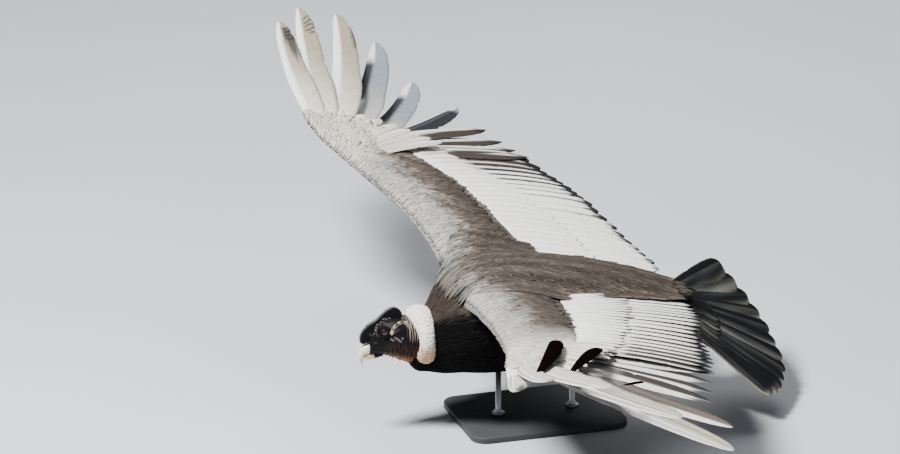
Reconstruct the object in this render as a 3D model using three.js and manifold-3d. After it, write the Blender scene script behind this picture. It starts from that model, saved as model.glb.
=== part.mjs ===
// An Andean condor, adult male, soaring in a gentle left turn, as a life-size museum model on a plain stand.
// Millimetres. The bird is built in its own frame: x forward to the bill, y to its left wing, z up from the
// mid-point between the shoulders. The finished group turns it to face -X and lifts it over its base plate.
import * as THREE from "three";
import { mergeVertices } from "three/addons/utils/BufferGeometryUtils.js";
import Module from "manifold-3d";

const wasm = await Module();
wasm.setup();

// Driving dimensions
const GAP = 0.35; // clearance between neighbouring pieces
const VANE_THICK = 0.8;
const WELD = 2e-3; // corners closer than this are one
const BODY_LIFT = 362; // shoulders above the floor
const BALANCE = -155; // the balance point, measured forward of the shoulders
const SIDES = { left: 1, right: -1 };

// Wing: leading edge and trailing edge against the distance out from the body's mid-plane
const WING = {
  edgeOut: [40, 105, 210, 320, 425, 530, 680, 805, 910, 985],
  edgeForward: [52, 58, 67, 80, 92, 106, 132, 172, 186, 184],
  edgeHeight: {
    left: [-20, -7, 16, 35, 53, 66, 84, 106, 131, 150],
    right: [10, 29, 60, 78, 84, 87, 97, 130, 166, 190],
  },
  trailOut: [120, 200, 300, 450, 570, 690, 760],
  trailForward: [-522, -512, -491, -450, -425, -397, -374],
  trailHeight: {
    left: [-62, -53, -34, -18, -8, 6, 11],
    right: [-64, -54, -42, -4, 3, 6, 18],
  },
  coreOut: [40, 210, 425, 600, 680, 760, 830, 880],
  coreChord: [250, 245, 232, 212, 186, 136, 84, 40],
  coreThick: [64, 56, 42, 34, 30, 24, 17, 10],
  camber: 24,
};
const WRIST = { out: 672, forward: 132, trailOut: 726, trailForward: -430 };

// Primaries from the innermost, 1, to the outermost, 10: where each tip reaches
const PRIMARY = {
  width: [64, 64, 64, 66, 74, 78, 78, 76, 72, 62],
  out: {
    left: [760, 820, 880, 950, 1090, 1250, 1330, 1340, 1290, 1200],
    right: [760, 820, 880, 950, 1090, 1215, 1310, 1370, 1330, 1270],
  },
  forward: {
    left: [-375, -354, -333, -309, -315, -266, -108, 77, 215, 270],
    right: [-373, -358, -341, -319, -287, -206, -139, -55, 55, 124],
  },
  height: {
    left: [9, 7, 7, 12, 0, 6, 138, 241, 254, 200],
    right: [18, 16, 19, 28, 40, 72, 152, 215, 258, 251],
  },
  // The bend of each feather from the fifth on: forward, out and height
  bend: {
    left: [[-102, 915, 42], [-75, 1003, 40], [8, 1050, 104], [105, 1065, 158], [184, 1048, 164], [220, 1010, 140]],
    right: [[-97, 940, 28], [-95, 1010, 22], [-62, 1080, 72], [-5, 1105, 140], [104, 1090, 166], [172, 1060, 200]],
  },
};
const SECONDARIES = 20;
const GREATER_COVERTS = 14;
const MEDIAN_COVERTS = 11;

// Body outline: stations along the body, top and bottom height and half width
const BODY = {
  station: [168, 150, 130, 110, 80, 40, -20, -100, -190, -280, -370, -450, -520, -556, -572],
  top: [-68, -63, -53, -30, 16, 46, 62, 60, 48, 28, 2, -26, -50, -66, -82],
  bottom: [-168, -174, -184, -198, -211, -219, -225, -225, -218, -204, -184, -158, -130, -112, -98],
  half: [44, 50, 60, 77, 106, 130, 144, 148, 142, 128, 108, 86, 60, 38, 12],
};
const TAIL = {
  root: new THREE.Vector3(-468, 0, -76),
  drop: 30, // degrees below level
  roll: 26, // degrees, left side down
  spread: 42, // degrees from the middle to the outermost feather
  middle: 366,
  outer: 340,
  cup: 24, // how far the outer feathers stand above the middle ones
  width: 70,
};
const RUFF = { centre: new THREE.Vector3(144, 0, -117), inner: 51, outer: 76, length: 54, locks: 15 };
const BASE = { length: 400, width: 300, thick: 16, corner: 40, rod: 7, rodSpacing: 190 };

// Shared geometry helpers
const V = (x, y, z) => new THREE.Vector3(x, y, z);
const radians = THREE.MathUtils.degToRad;
const mix = THREE.MathUtils.lerp;

// A value between named ones, smoothed where the rows bend.
function between(xs, ys, x) {
  const rising = xs[1] > xs[0];
  let i = 0;
  while (i < xs.length - 2 && (rising ? x > xs[i + 1] : x < xs[i + 1])) i++;
  const t = (x - xs[i]) / (xs[i + 1] - xs[i]);
  const slope = (k) => {
    const a = Math.max(k - 1, 0);
    const b = Math.min(k + 1, xs.length - 1);
    return ((ys[b] - ys[a]) / (xs[b] - xs[a])) * (xs[i + 1] - xs[i]);
  };
  const t2 = t * t;
  const t3 = t2 * t;
  return (
    (2 * t3 - 3 * t2 + 1) * ys[i] +
    (t3 - 2 * t2 + t) * slope(i) +
    (3 * t2 - 2 * t3) * ys[i + 1] +
    (t3 - t2) * slope(i + 1)
  );
}

// A closed solid through rings of equally many points; the ends close on the rings' own corners or middles.
function loft(rings, capMiddles = true) {
  const n = rings[0].length;
  const points = rings.flat();
  const faces = [];
  for (let r = 0; r < rings.length - 1; r++) {
    for (let i = 0; i < n; i++) {
      const a = r * n + i;
      const b = r * n + ((i + 1) % n);
      faces.push(a, b, a + n, b, b + n, a + n);
    }
  }
  const last = (rings.length - 1) * n;
  if (capMiddles) {
    const middles = [rings[0], rings[rings.length - 1]].map((ring) =>
      ring.reduce((sum, p) => sum.add(p), V(0, 0, 0)).divideScalar(n),
    );
    points.push(...middles);
    for (let i = 0; i < n; i++) {
      faces.push(points.length - 2, (i + 1) % n, i);
      faces.push(points.length - 1, last + i, last + ((i + 1) % n));
    }
  } else {
    for (let i = 1; i < n - 1; i++) {
      faces.push(0, i + 1, i);
      faces.push(last, last + i, last + i + 1);
    }
  }
  const geometry = new THREE.BufferGeometry().setFromPoints(points);
  geometry.setIndex(faces);
  return geometry;
}

function solid(geometry, weld = 1e-4) {
  const bare = new THREE.BufferGeometry().setAttribute("position", geometry.getAttribute("position"));
  if (geometry.index) bare.setIndex(geometry.index);
  const merged = mergeVertices(bare, weld);
  let made = new wasm.Manifold(
    new wasm.Mesh({
      numProp: 3,
      vertProperties: merged.attributes.position.array,
      triVerts: new Uint32Array(merged.index.array),
    }),
  );
  if (made.volume() < 0) {
    const turned = new Uint32Array(merged.index.array);
    for (let i = 0; i < turned.length; i += 3) [turned[i + 1], turned[i + 2]] = [turned[i + 2], turned[i + 1]];
    made = new wasm.Manifold(
      new wasm.Mesh({ numProp: 3, vertProperties: merged.attributes.position.array, triVerts: turned }),
    );
  }
  return made;
}

function geometryOf(made) {
  const mesh = made.getMesh();
  const points = new Float32Array(mesh.numVert * 3);
  for (let i = 0; i < mesh.numVert; i++) {
    points.set(mesh.vertProperties.subarray(i * mesh.numProp, i * mesh.numProp + 3), i * 3);
  }
  return new THREE.BufferGeometry()
    .setAttribute("position", new THREE.BufferAttribute(points, 3))
    .setIndex(new THREE.BufferAttribute(new Uint32Array(mesh.triVerts), 1));
}

// The largest closed surface of a solid, which drops loose scraps and fills sealed hollows.
function largest(made) {
  return made.decompose().sort((a, b) => b.volume() - a.volume())[0];
}

const joined = (solids) => solids.reduce((sum, each) => sum.add(each));

function ellipsoid(centre, radii, turn = V(0, 0, 0), detail = [12, 8]) {
  const geometry = new THREE.SphereGeometry(1, detail[0], detail[1]);
  geometry.scale(radii.x, radii.y, radii.z);
  geometry.applyMatrix4(new THREE.Matrix4().makeRotationFromEuler(new THREE.Euler(turn.x, turn.y, turn.z)));
  geometry.translate(centre.x, centre.y, centre.z);
  return solid(geometry);
}

// A round bar along a row of points, each with its own radius.
function bar(points, radii, sides = 8, flat = 1) {
  const rings = points.map((p, i) => {
    const before = points[Math.max(i - 1, 0)];
    const after = points[Math.min(i + 1, points.length - 1)];
    const along = after.clone().sub(before).normalize();
    const across = V(0, 1, 0).cross(along).lengthSq() > 0.01 ? V(0, 1, 0) : V(1, 0, 0);
    const up = along.clone().cross(across).normalize();
    const side = up.clone().cross(along).normalize();
    return Array.from({ length: sides }, (_, k) => {
      const a = (2 * Math.PI * k) / sides;
      return p
        .clone()
        .addScaledVector(side, Math.cos(a) * radii[i])
        .addScaledVector(up, Math.sin(a) * radii[i] * flat);
    });
  });
  return solid(loft(rings));
}

// One feather vane: a thin, slightly arched blade along a bent shaft.
// stations are shares of the length, widths the share of the full width at each; outerShare is the part of the
// width on the leading side of the shaft. outward is the leading side, and tilt lifts that edge.
function vane({ root, knee, tip, outward, up, width, outerShare, stations, widths, tilt, arch = 0, thick = VANE_THICK }) {
  const shaft = new THREE.QuadraticBezierCurve3(root, knee, tip);
  const rings = stations.map((t, i) => {
    const centre = shaft.getPoint(t);
    const along = shaft.getTangent(Math.min(Math.max(t, 0.001), 0.999)).normalize();
    const normal = up.clone().addScaledVector(along, -up.dot(along)).normalize();
    const side = outward
      .clone()
      .addScaledVector(along, -outward.dot(along))
      .addScaledVector(normal, -outward.dot(normal))
      .normalize();
    const leading = side.clone().multiplyScalar(Math.cos(tilt)).addScaledVector(normal, Math.sin(tilt));
    const face = normal.clone().multiplyScalar(Math.cos(tilt)).addScaledVector(side, -Math.sin(tilt));
    const w = width * widths[i];
    const half = (thick / 2) * (i === stations.length - 1 ? 0.7 : 1);
    const outer = centre.clone().addScaledVector(leading, w * outerShare).addScaledVector(face, -arch * widths[i] * 0.5);
    const inner = centre
      .clone()
      .addScaledVector(leading, -w * (1 - outerShare))
      .addScaledVector(face, -arch * widths[i]);
    const across = arch ? [outer, centre, inner] : [outer, inner];
    return [
      ...across.map((p) => p.clone().addScaledVector(face, half)),
      ...across.reverse().map((p) => p.clone().addScaledVector(face, -half)),
    ];
  });
  const n = rings[0].length;
  const edge = n / 2;
  const points = rings.flat();
  const faces = [];
  const quad = (a, b, c, d, turned) => faces.push(...(turned ? [a, b, d, b, c, d] : [a, b, c, a, c, d]));
  for (let r = 0; r < rings.length - 1; r++) {
    for (let i = 0; i < n; i++) {
      const j = (i + 1) % n;
      const low = i >= edge && i < n - 1;
      quad(r * n + i, r * n + j, (r + 1) * n + j, (r + 1) * n + i, low);
    }
  }
  for (const [start, turned] of [[0, false], [(rings.length - 1) * n, true]]) {
    for (let i = 0; i < edge - 1; i++) {
      const [a, b, c, d] = [start + i, start + i + 1, start + n - 2 - i, start + n - 1 - i];
      faces.push(...(turned ? [a, b, d, b, c, d] : [a, d, b, b, d, c]));
    }
  }
  const geometry = new THREE.BufferGeometry().setFromPoints(points);
  geometry.setIndex(faces);
  return solid(geometry);
}

const PLAIN_VANE = { stations: [0, 0.5, 0.87, 0.97, 1], widths: [0.6, 1, 0.92, 0.55, 0.16] };
const COVERT_VANE = { stations: [0, 0.6, 0.92, 1], widths: [0.7, 1, 0.7, 0.22] };
const FINGER_VANE = {
  stations: [0, 0.2, 0.42, 0.52, 0.72, 0.9, 0.97, 1],
  widths: [0.4, 0.88, 1, 0.7, 0.64, 0.52, 0.34, 0.1],
};

// Wing surface
// A point of the wing's middle surface: out from the body, and chord from 0 at the leading edge to 1 at the tips
// of the secondaries.
function wingPoint(side, out, chord, lift = 0) {
  const sign = SIDES[side];
  const lead = V(
    between(WING.edgeOut, WING.edgeForward, out),
    out,
    between(WING.edgeOut, WING.edgeHeight[side], out),
  );
  const trail = V(
    between(WING.trailOut, WING.trailForward, Math.min(out, 760)),
    out,
    between(WING.trailOut, WING.trailHeight[side], Math.min(out, 760)),
  );
  const point = lead.lerp(trail, chord);
  point.z += WING.camber * 4 * chord * (1 - chord) + lift;
  point.y *= sign;
  return point;
}

// Which way is up from the wing's surface at a place on it.
function wingUp(side, out, chord) {
  const reach = 30;
  const across = wingPoint(side, out + reach, chord).sub(wingPoint(side, out - reach, chord));
  return V(-0.05, (-across.z / across.y), 1).normalize();
}

// Half thickness of the fleshy fore part of the wing at a share of its own chord.
function foilHalf(x) {
  const shape = 2.97 * Math.sqrt(x) - 1.26 * x - 3.52 * x * x + 2.84 * x ** 3 - 1.02 * x ** 4;
  return shape * 0.5;
}

function wingCore(side) {
  const sign = SIDES[side];
  const shares = [0, 0.03, 0.12, 0.3, 0.55, 0.8, 1];
  const rings = WING.coreOut.map((out) => {
    const chord = between(WING.coreOut, WING.coreChord, out);
    const thick = between(WING.coreOut, WING.coreThick, out);
    const span = between(WING.edgeOut, WING.edgeForward, out) -
      between(WING.trailOut, WING.trailForward, Math.min(out, 760));
    const at = (x, upper) => {
      const p = wingPoint(side, out, (x * chord) / span);
      const least = 2.4 * Math.min(1, x * 8);
      return p.add(V(0, 0, upper * Math.max(foilHalf(x) * thick * (upper > 0 ? 1.1 : 0.9), least)));
    };
    const ring = [at(0, 1), ...shares.slice(1).map((x) => at(x, 1)), ...shares.slice(1).reverse().map((x) => at(x, -1))];
    return sign > 0 ? ring : ring.reverse();
  });
  return solid(loft(rings));
}

// Secondaries, each over the next one out, and the two rows of coverts over their roots
function armFeathers(side) {
  const sign = SIDES[side];
  const outward = V(0, sign, 0);
  const tilt = 0.085;
  const made = [];
  for (let i = 0; i < SECONDARIES; i++) {
    const t = i / (SECONDARIES - 1);
    const rootOut = mix(640, 150, t);
    const tipOut = mix(732, 132, t);
    const root = wingPoint(side, rootOut, 0.3);
    const tip = wingPoint(side, tipOut, 1 - 0.02 * (i % 3 === 1), -4);
    const knee = root.clone().lerp(tip, 0.5).add(V(0, 0, 12));
    made.push(vane({
      root, knee, tip, outward, up: wingUp(side, (rootOut + tipOut) / 2, 0.7), width: 56, outerShare: 0.36, tilt,
      ...PLAIN_VANE,
    }));
  }
  for (let i = 0; i < GREATER_COVERTS; i++) {
    const t = i / (GREATER_COVERTS - 1);
    const root = wingPoint(side, mix(650, 150, t), 0.33, 1);
    const tip = wingPoint(side, mix(704, 134, t), mix(0.68, 0.74, t), 5);
    const knee = root.clone().lerp(tip, 0.5).add(V(0, 0, 14));
    made.push(vane({
      root, knee, tip, outward, up: wingUp(side, mix(677, 142, t), 0.5), width: 60, outerShare: 0.4, tilt,
      ...COVERT_VANE,
    }));
  }
  for (let i = 0; i < MEDIAN_COVERTS; i++) {
    const t = i / (MEDIAN_COVERTS - 1);
    const root = wingPoint(side, mix(650, 160, t), 0.24, 2);
    const tip = wingPoint(side, mix(684, 140, t), mix(0.5, 0.53, t), 11);
    const knee = root.clone().lerp(tip, 0.5).add(V(0, 0, 17));
    made.push(vane({
      root, knee, tip, outward, up: wingUp(side, mix(667, 150, t), 0.4), width: 66, outerShare: 0.45, tilt,
      ...COVERT_VANE,
    }));
  }
  return made;
}

// Primaries, their coverts and the alula
function handFeathers(side) {
  const sign = SIDES[side];
  const made = [];
  const handPoint = (share, back, lift = 0) => {
    const out = mix(676, 826, share);
    const p = wingPoint(side, out, 0, lift);
    p.x -= back;
    return p;
  };
  for (let i = 0; i < 10; i++) {
    const share = i / 9;
    const root = handPoint(share, mix(74, 20, share), mix(10, 2, share));
    const tip = V(PRIMARY.forward[side][i], sign * PRIMARY.out[side][i], PRIMARY.height[side][i]);
    const knee = root.clone().lerp(tip, 0.5).add(V(0, 0, 6));
    if (i > 3) {
      const [forward, out, height] = PRIMARY.bend[side][i - 4];
      knee.set(forward, sign * out, height);
    }
    const outward = V(mix(0.15, 0.92, share), sign * mix(1, 0.5, share), 0).normalize();
    const shape = i > 3 ? FINGER_VANE : PLAIN_VANE;
    made.push(vane({
      root, knee, tip, outward, up: V(0, 0, 1), width: PRIMARY.width[i],
      outerShare: mix(0.34, 0.24, share), tilt: 0.07, arch: 3, ...shape,
    }));
  }
  for (let i = 0; i < 8; i++) {
    const share = i / 7;
    const root = handPoint(share * 0.96, mix(56, 20, share), mix(6, 3, share));
    const aim = Math.round(share * 9);
    const far = V(PRIMARY.forward[side][aim], sign * PRIMARY.out[side][aim], root.z);
    const toward = far.sub(root).normalize();
    const tip = root.clone().addScaledVector(toward, mix(210, 190, share)).add(V(0, 0, mix(-4, 22, share)));
    const knee = root.clone().lerp(tip, 0.5).add(V(0, 0, 16));
    const outward = V(mix(0.15, 0.92, share), sign * mix(1, 0.5, share), 0).normalize();
    made.push(vane({
      root, knee, tip, outward, up: V(0, 0, 1), width: 46, outerShare: 0.4, tilt: 0.08, ...COVERT_VANE,
    }));
  }
  for (let i = 0; i < 3; i++) {
    const root = wingPoint(side, 690 + i * 16, 0.03, 6 - i);
    const tip = wingPoint(side, 800 + i * 34, 0.045, 26 - i * 5);
    tip.x -= 8 - i * 4;
    const knee = root.clone().lerp(tip, 0.5).add(V(4, 0, 9));
    made.push(vane({
      root, knee, tip, outward: V(1, 0, 0), up: V(0, 0, 1), width: 30, outerShare: 0.4, tilt: 0.1, ...COVERT_VANE,
    }));
  }
  return made;
}

// A very large block on one side of the upright plane through the wrist joint.
function wristSide(side, distal) {
  const sign = SIDES[side];
  const from = V(WRIST.forward, WRIST.out * sign, 0);
  const to = V(WRIST.trailForward, WRIST.trailOut * sign, 0);
  const along = to.clone().sub(from).normalize();
  const away = V(-along.y, along.x, 0);
  if (away.y * sign < 0) away.negate();
  const size = 3000;
  const block = new THREE.BoxGeometry(size, size, size);
  const centre = from.clone().addScaledVector(away, (distal ? 1 : -1) * (size / 2 + GAP / 2));
  const matrix = new THREE.Matrix4().makeBasis(along, away, along.clone().cross(away)).setPosition(centre);
  block.applyMatrix4(matrix);
  return solid(block);
}

// Torso, neck and head share one run of rings
function bodyRing(x, grow = 0, sides = 20) {
  const top = between(BODY.station, BODY.top, x) + grow;
  const bottom = between(BODY.station, BODY.bottom, x) - grow;
  const half = between(BODY.station, BODY.half, x) + grow;
  const belt = mix(bottom, top, 0.54);
  return Array.from({ length: sides }, (_, k) => {
    const a = (2 * Math.PI * k) / sides;
    const c = Math.cos(a);
    const s = Math.sin(a);
    const height = s > 0 ? top - belt : belt - bottom;
    return V(x, half * Math.sign(c) * Math.abs(c) ** 0.92, belt + height * Math.sign(s) * Math.abs(s) ** 0.95);
  });
}

function torso(grow = 0) {
  const stations = [];
  const steps = 17;
  for (let i = 0; i <= steps; i++) stations.push(mix(150 + grow, -572 - grow, Math.sin((Math.PI / 2) * (i / steps) ** 1.1)));
  return solid(loft(stations.map((x) => bodyRing(x, grow))));
}

// Head and neck, from the collar to the base of the bill
const HEAD = {
  station: [130, 150, 168, 186, 204, 222, 240, 255, 266, 274],
  top: [-66, -64, -62, -61, -61, -64, -71, -84, -100, -112],
  bottom: [-168, -170, -172, -170, -165, -158, -153, -151, -151, -151],
  half: [44, 45, 44, 43, 40, 36, 31, 25, 20, 16],
};
const EYE = { centre: V(237, 26, -88), ball: 10 };

function headRings(grow = 0) {
  const [sides, fullness] = [16, 0.92];
  return HEAD.station.map((x, i) => {
    const top = HEAD.top[i] + grow;
    const bottom = HEAD.bottom[i] - grow;
    const half = HEAD.half[i] + grow;
    const belt = mix(bottom, top, 0.5);
    return Array.from({ length: sides }, (_, k) => {
      const a = (2 * Math.PI * k) / sides;
      const [c, w] = [Math.cos(a), Math.sin(a)];
      return V(
        x,
        half * Math.sign(c) * Math.abs(c) ** fullness,
        belt + (w > 0 ? top - belt : belt - bottom) * Math.sign(w) * Math.abs(w) ** fullness,
      );
    });
  });
}

// A block that fills the space between two stations.
function crossBlock(from, to, size = 900) {
  const block = new THREE.BoxGeometry(to - from, size, size);
  block.translate((from + to) / 2, 0, -100);
  return solid(block);
}

// Where the skin of the head lies at a station, on one side, at an angle up from level.
function onHead(x, sign, angle, lift = 0) {
  const top = between(HEAD.station, HEAD.top, x) + lift;
  const bottom = between(HEAD.station, HEAD.bottom, x) - lift;
  const half = between(HEAD.station, HEAD.half, x) + lift;
  const a = radians(angle);
  return V(x, sign * half * Math.cos(a), mix(bottom, top, 0.5) + ((top - bottom) / 2) * Math.sin(a));
}

// Folds of bare skin: the long one that rises behind the eye and turns down the nape, then those of the cheek and
// throat. Each is a row of stations and angles on the head.
const FOLDS = [
  { at: [[221, 34], [209, 52], [194, 58], [182, 50], [174, 22], [172, -6]], thick: 5 },
  { at: [[214, 0], [202, 9], [192, -8], [193, -40]], thick: 4 },
  { at: [[207, -18], [204, -40], [207, -62]], thick: 4 },
];

function headSolid() {
  let made = solid(loft(headRings()));
  for (const sign of [1, -1]) {
    const { centre, ball } = EYE;
    made = made.add(ellipsoid(V(240, sign * 22, -76), V(17, 8, 5), V(0, 0.35, 0), [8, 4]));
    const socket = ellipsoid(V(centre.x, sign * centre.y, centre.z), V(ball + 5, 8, ball + 3.5), V(0, 0, 0), [10, 4]);
    made = made.add(socket.translate([0, sign * 3, 0]));
    for (const fold of FOLDS) {
      const rows = fold.at.map(([x, angle]) => onHead(x, sign, angle, -0.4));
      const last = rows.length - 1;
      made = made.add(bar(rows, rows.map((_, i) => fold.thick * (i === 0 || i === last ? 0.5 : 1)), 3));
    }
    const room = ball + GAP;
    made = made.subtract(ellipsoid(V(centre.x, sign * centre.y, centre.z), V(room, room, room), V(0, 0, 0), [10, 6]));
    made = made.subtract(ellipsoid(V(259, sign * 22, -113), V(4.5, 6, 2), V(0, 0.5, 0), [6, 3]));
    const opening = ellipsoid(V(centre.x, sign * (centre.y + 9), centre.z), V(8.2, 8, 6.4), V(0, 0, 0), [8, 4]);
    made = made.subtract(opening);
  }
  return made;
}

// The hooked bill: upper half and lower half meet along the mouth line.
function billUpper() {
  const line = [
    [250, -131, 15, 17], [262, -133, 14, 15.5], [273, -135.5, 13.5, 14], [282, -139, 13, 12.5],
    [289, -146, 10, 10], [292, -155, 7.4, 7.4], [292, -164, 5.2, 5], [290, -171, 3, 3], [288, -176, 0.9, 0.9],
  ];
  const rings = line.map(([x, z, tall, half], i) => {
    const next = line[Math.min(i + 1, line.length - 1)];
    const before = line[Math.max(i - 1, 0)];
    const along = V(next[0] - before[0], 0, next[1] - before[1]).normalize();
    const up = V(0, 1, 0).cross(along).negate();
    return Array.from({ length: 14 }, (_, k) => {
      const a = (2 * Math.PI * k) / 14;
      return V(x, 0, z).addScaledVector(V(0, 1, 0), half * Math.cos(a)).addScaledVector(up, tall * Math.sin(a));
    });
  });
  return solid(loft(rings));
}

function billLower() {
  const line = [[240, -148, 9, 17], [256, -151, 9, 14.5], [268, -154, 8.5, 12.5], [278, -156, 7, 10], [285, -156, 4, 6]];
  const rings = line.map(([x, z, tall, half]) =>
    Array.from({ length: 12 }, (_, k) => {
      const a = (2 * Math.PI * k) / 12;
      return V(x, half * Math.cos(a), z + tall * Math.sin(a));
    }),
  );
  return solid(loft(rings));
}

// The male's fleshy comb: an upright flap from the base of the bill to over the eye, wrinkled along its foot.
const COMB = {
  outline: [
    [294, -119], [297, -109], [296, -98], [289, -85], [274, -71], [254, -59.5], [236, -44], [223, -35], [210, -32],
    [198, -37], [189.5, -46], [187, -57], [193, -68], [208, -76], [228, -80], [250, -90], [266, -106], [276, -119], [286, -123],
  ],
  layers: [[-1, 4.5], [-0.7, 1.2], [0, 0], [0.7, 1.2], [1, 4.5]], // share of the half thickness, step in from the edge
  half: 8,
  knobs: 5,
};

function combSolid(grow = 0) {
  const count = COMB.outline.length;
  const rings = COMB.layers.map(([y, stepIn]) =>
    COMB.outline.map(([x, z], i) => {
      const [before, after] = [COMB.outline[(i + count - 1) % count], COMB.outline[(i + 1) % count]];
      const outward = V(after[1] - before[1], 0, before[0] - after[0]).normalize();
      return V(x, y * (COMB.half + grow), z).addScaledVector(outward, 1.3 * grow - stepIn);
    }),
  );
  const flap = solid(loft(rings));
  const knobs = [];
  for (let k = 0; k < COMB.knobs; k++) {
    const share = k / (COMB.knobs - 1);
    const size = 3.2 + grow + 0.8 * (k % 2);
    const [x, z] = [mix(268, 224, share), mix(-104, -68, share ** 0.7)];
    for (const sign of [1, -1]) {
      knobs.push(ellipsoid(V(x, sign * (COMB.half - 0.6), z), V(size + 1.5, size, size), V(0, 0.6, 0), [5, 3]));
    }
  }
  return joined([flap, ...knobs]);
}

// The ruff of white down: flat tapered locks in two rows over a thin ring.
function ruffSolid() {
  const { centre, inner, outer, length, locks } = RUFF;
  const profile = [[-0.4, 0.1], [-0.25, 0.42], [0.1, 0.5], [0.36, 0.34], [0.44, 0], [-0.3, -0.1]];
  const sides = 16;
  const rings = Array.from({ length: sides }, (_, k) => {
    const a = (2 * Math.PI * k) / sides;
    return profile.map(([along, share]) => {
      const radius = mix(inner, outer, share);
      return V(centre.x + along * length, radius * Math.cos(a), centre.z + radius * Math.sin(a));
    });
  });
  const n = profile.length;
  const faces = [];
  for (let k = 0; k < sides; k++) {
    const next = (k + 1) % sides;
    for (let i = 0; i < n; i++) {
      const j = (i + 1) % n;
      faces.push(k * n + i, next * n + i, k * n + j, k * n + j, next * n + i, next * n + j);
    }
  }
  const ring = new THREE.BufferGeometry().setFromPoints(rings.flat());
  ring.setIndex(faces);
  const pieces = [solid(ring)];
  const rows = [
    { root: [0.26, 7.4], knee: [0.6, 30], tip: [-0.1, 26], turn: 0 },
    { root: [-0.02, 7.8], knee: [0.16, 26], tip: [-0.42, 23], turn: 0.5 },
  ];
  for (const row of rows) {
    for (let k = 0; k < locks; k++) {
      const a = (2 * Math.PI * (k + row.turn)) / locks;
      const radial = V(0, Math.cos(a), Math.sin(a));
      const at = ([along, rise]) => V(centre.x + along * length, 0, centre.z).addScaledVector(radial, inner + rise);
      const uneven = Math.sin(2.4 * k + 5 * row.turn);
      const tip = at([row.tip[0] + 0.05 * uneven, row.tip[1] - 1.5 * uneven]);
      pieces.push(vane({
        root: at(row.root), knee: at(row.knee), tip, outward: radial.clone().cross(V(1, 0, 0)), up: radial,
        width: 35.3 + 2 * uneven, outerShare: 0.5, tilt: 0.12, thick: 1.2, stations: [0, 0.6, 1],
        widths: [0.5, 0.95, 0.45],
      }));
    }
  }
  return joined(pieces);
}

// Tail: a fan of twelve feathers, the middle pair uppermost, rolled and lowered to steer
function tailSolid() {
  const drop = radians(TAIL.drop);
  const roll = radians(TAIL.roll);
  const back = V(-Math.cos(drop), 0, -Math.sin(drop));
  const across = V(0, Math.cos(roll), -Math.sin(roll));
  const flatUp = back.clone().cross(across).normalize();
  const up = flatUp.z > 0 ? flatUp : flatUp.negate();
  const pieces = [];
  const hub = [0, 55, 105, 128].map((d, i) => {
    const p = TAIL.root.clone().addScaledVector(back, d - 20).addScaledVector(up, -4);
    return Array.from({ length: 12 }, (_, k) => {
      const a = (2 * Math.PI * k) / 12;
      return p
        .clone()
        .addScaledVector(across, [44, 54, 60, 50][i] * Math.cos(a))
        .addScaledVector(up, [24, 20, 13, 4][i] * Math.sin(a));
    });
  });
  pieces.push(solid(loft(hub)));
  for (let k = 0; k < 12; k++) {
    const share = (k - 5.5) / 5.5;
    const rank = k < 6 ? 5 - k : k - 5;
    const angle = radians(TAIL.spread * share);
    const aim = back.clone().multiplyScalar(Math.cos(angle)).addScaledVector(across, Math.sin(angle));
    const sink = -1.6 * rank;
    const root = TAIL.root.clone().addScaledVector(aim, 30).addScaledVector(up, sink + 2);
    const length = mix(TAIL.middle, TAIL.outer, share * share);
    const tip = TAIL.root.clone().addScaledVector(aim, length).addScaledVector(up, sink + TAIL.cup * share * share);
    const knee = root.clone().lerp(tip, 0.5).addScaledVector(up, 5);
    const outward = across.clone().multiplyScalar(share < 0 ? -1 : 1);
    pieces.push(vane({
      root, knee, tip, outward, up, width: TAIL.width, outerShare: mix(0.46, 0.34, Math.abs(share)),
      tilt: 0.17 * Math.abs(share),
      stations: [0, 0.45, 0.86, 0.965, 1], widths: [0.3, 0.8, 1, 0.72, 0.3],
    }));
  }
  for (let k = 0; k < 7; k++) {
    const share = (k - 3) / 3;
    const angle = radians(TAIL.spread * 0.86 * share);
    const aim = back.clone().multiplyScalar(Math.cos(angle)).addScaledVector(across, Math.sin(angle));
    const rank = Math.abs(k - 3) + (k > 3 ? 0.5 : 0);
    const root = TAIL.root.clone().addScaledVector(aim, 34).addScaledVector(up, 9 - 1.5 * rank);
    const tip = TAIL.root.clone().addScaledVector(aim, 176).addScaledVector(up, 12 - 1.5 * rank + 5 * share * share);
    const knee = root.clone().lerp(tip, 0.5).addScaledVector(up, 10);
    pieces.push(vane({
      root, knee, tip, outward: across.clone().multiplyScalar(share < 0 ? -1 : 1), up, width: 56, outerShare: 0.5,
      tilt: 0.1 * Math.abs(share), ...COVERT_VANE,
    }));
  }
  return joined(pieces);
}

// Legs folded back under the tail coverts
const LEG = { hock: V(-318, 62, -214), ankle: V(-436, 54, -196), thigh: V(-262, 66, -196) };

function legSolid(sign) {
  const flip = (p) => V(p.x, p.y * sign, p.z);
  const thigh = bar(
    [flip(V(-215, 70, -170)), flip(LEG.thigh), flip(V(-300, 63, -208)), flip(V(-322, 62, -214))],
    [40, 36, 24, 13], 12,
  );
  const shank = bar([flip(V(-305, 62, -212)), flip(LEG.hock), flip(V(-380, 58, -206)), flip(LEG.ankle)], [10, 12, 9.5, 11], 10);
  return thigh.add(shank);
}

const TOES = [
  { name: "inner", reach: V(-66, -24, 6), length: 1 },
  { name: "middle", reach: V(-96, 4, 8), length: 1 },
  { name: "outer", reach: V(-68, 28, 6), length: 1 },
  { name: "hind", reach: V(-30, -14, -18), length: 0.6 },
];

const CLAW = { length: 22, hook: 9, radii: [4.4, 3.6, 2.2, 0.7] };

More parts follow.
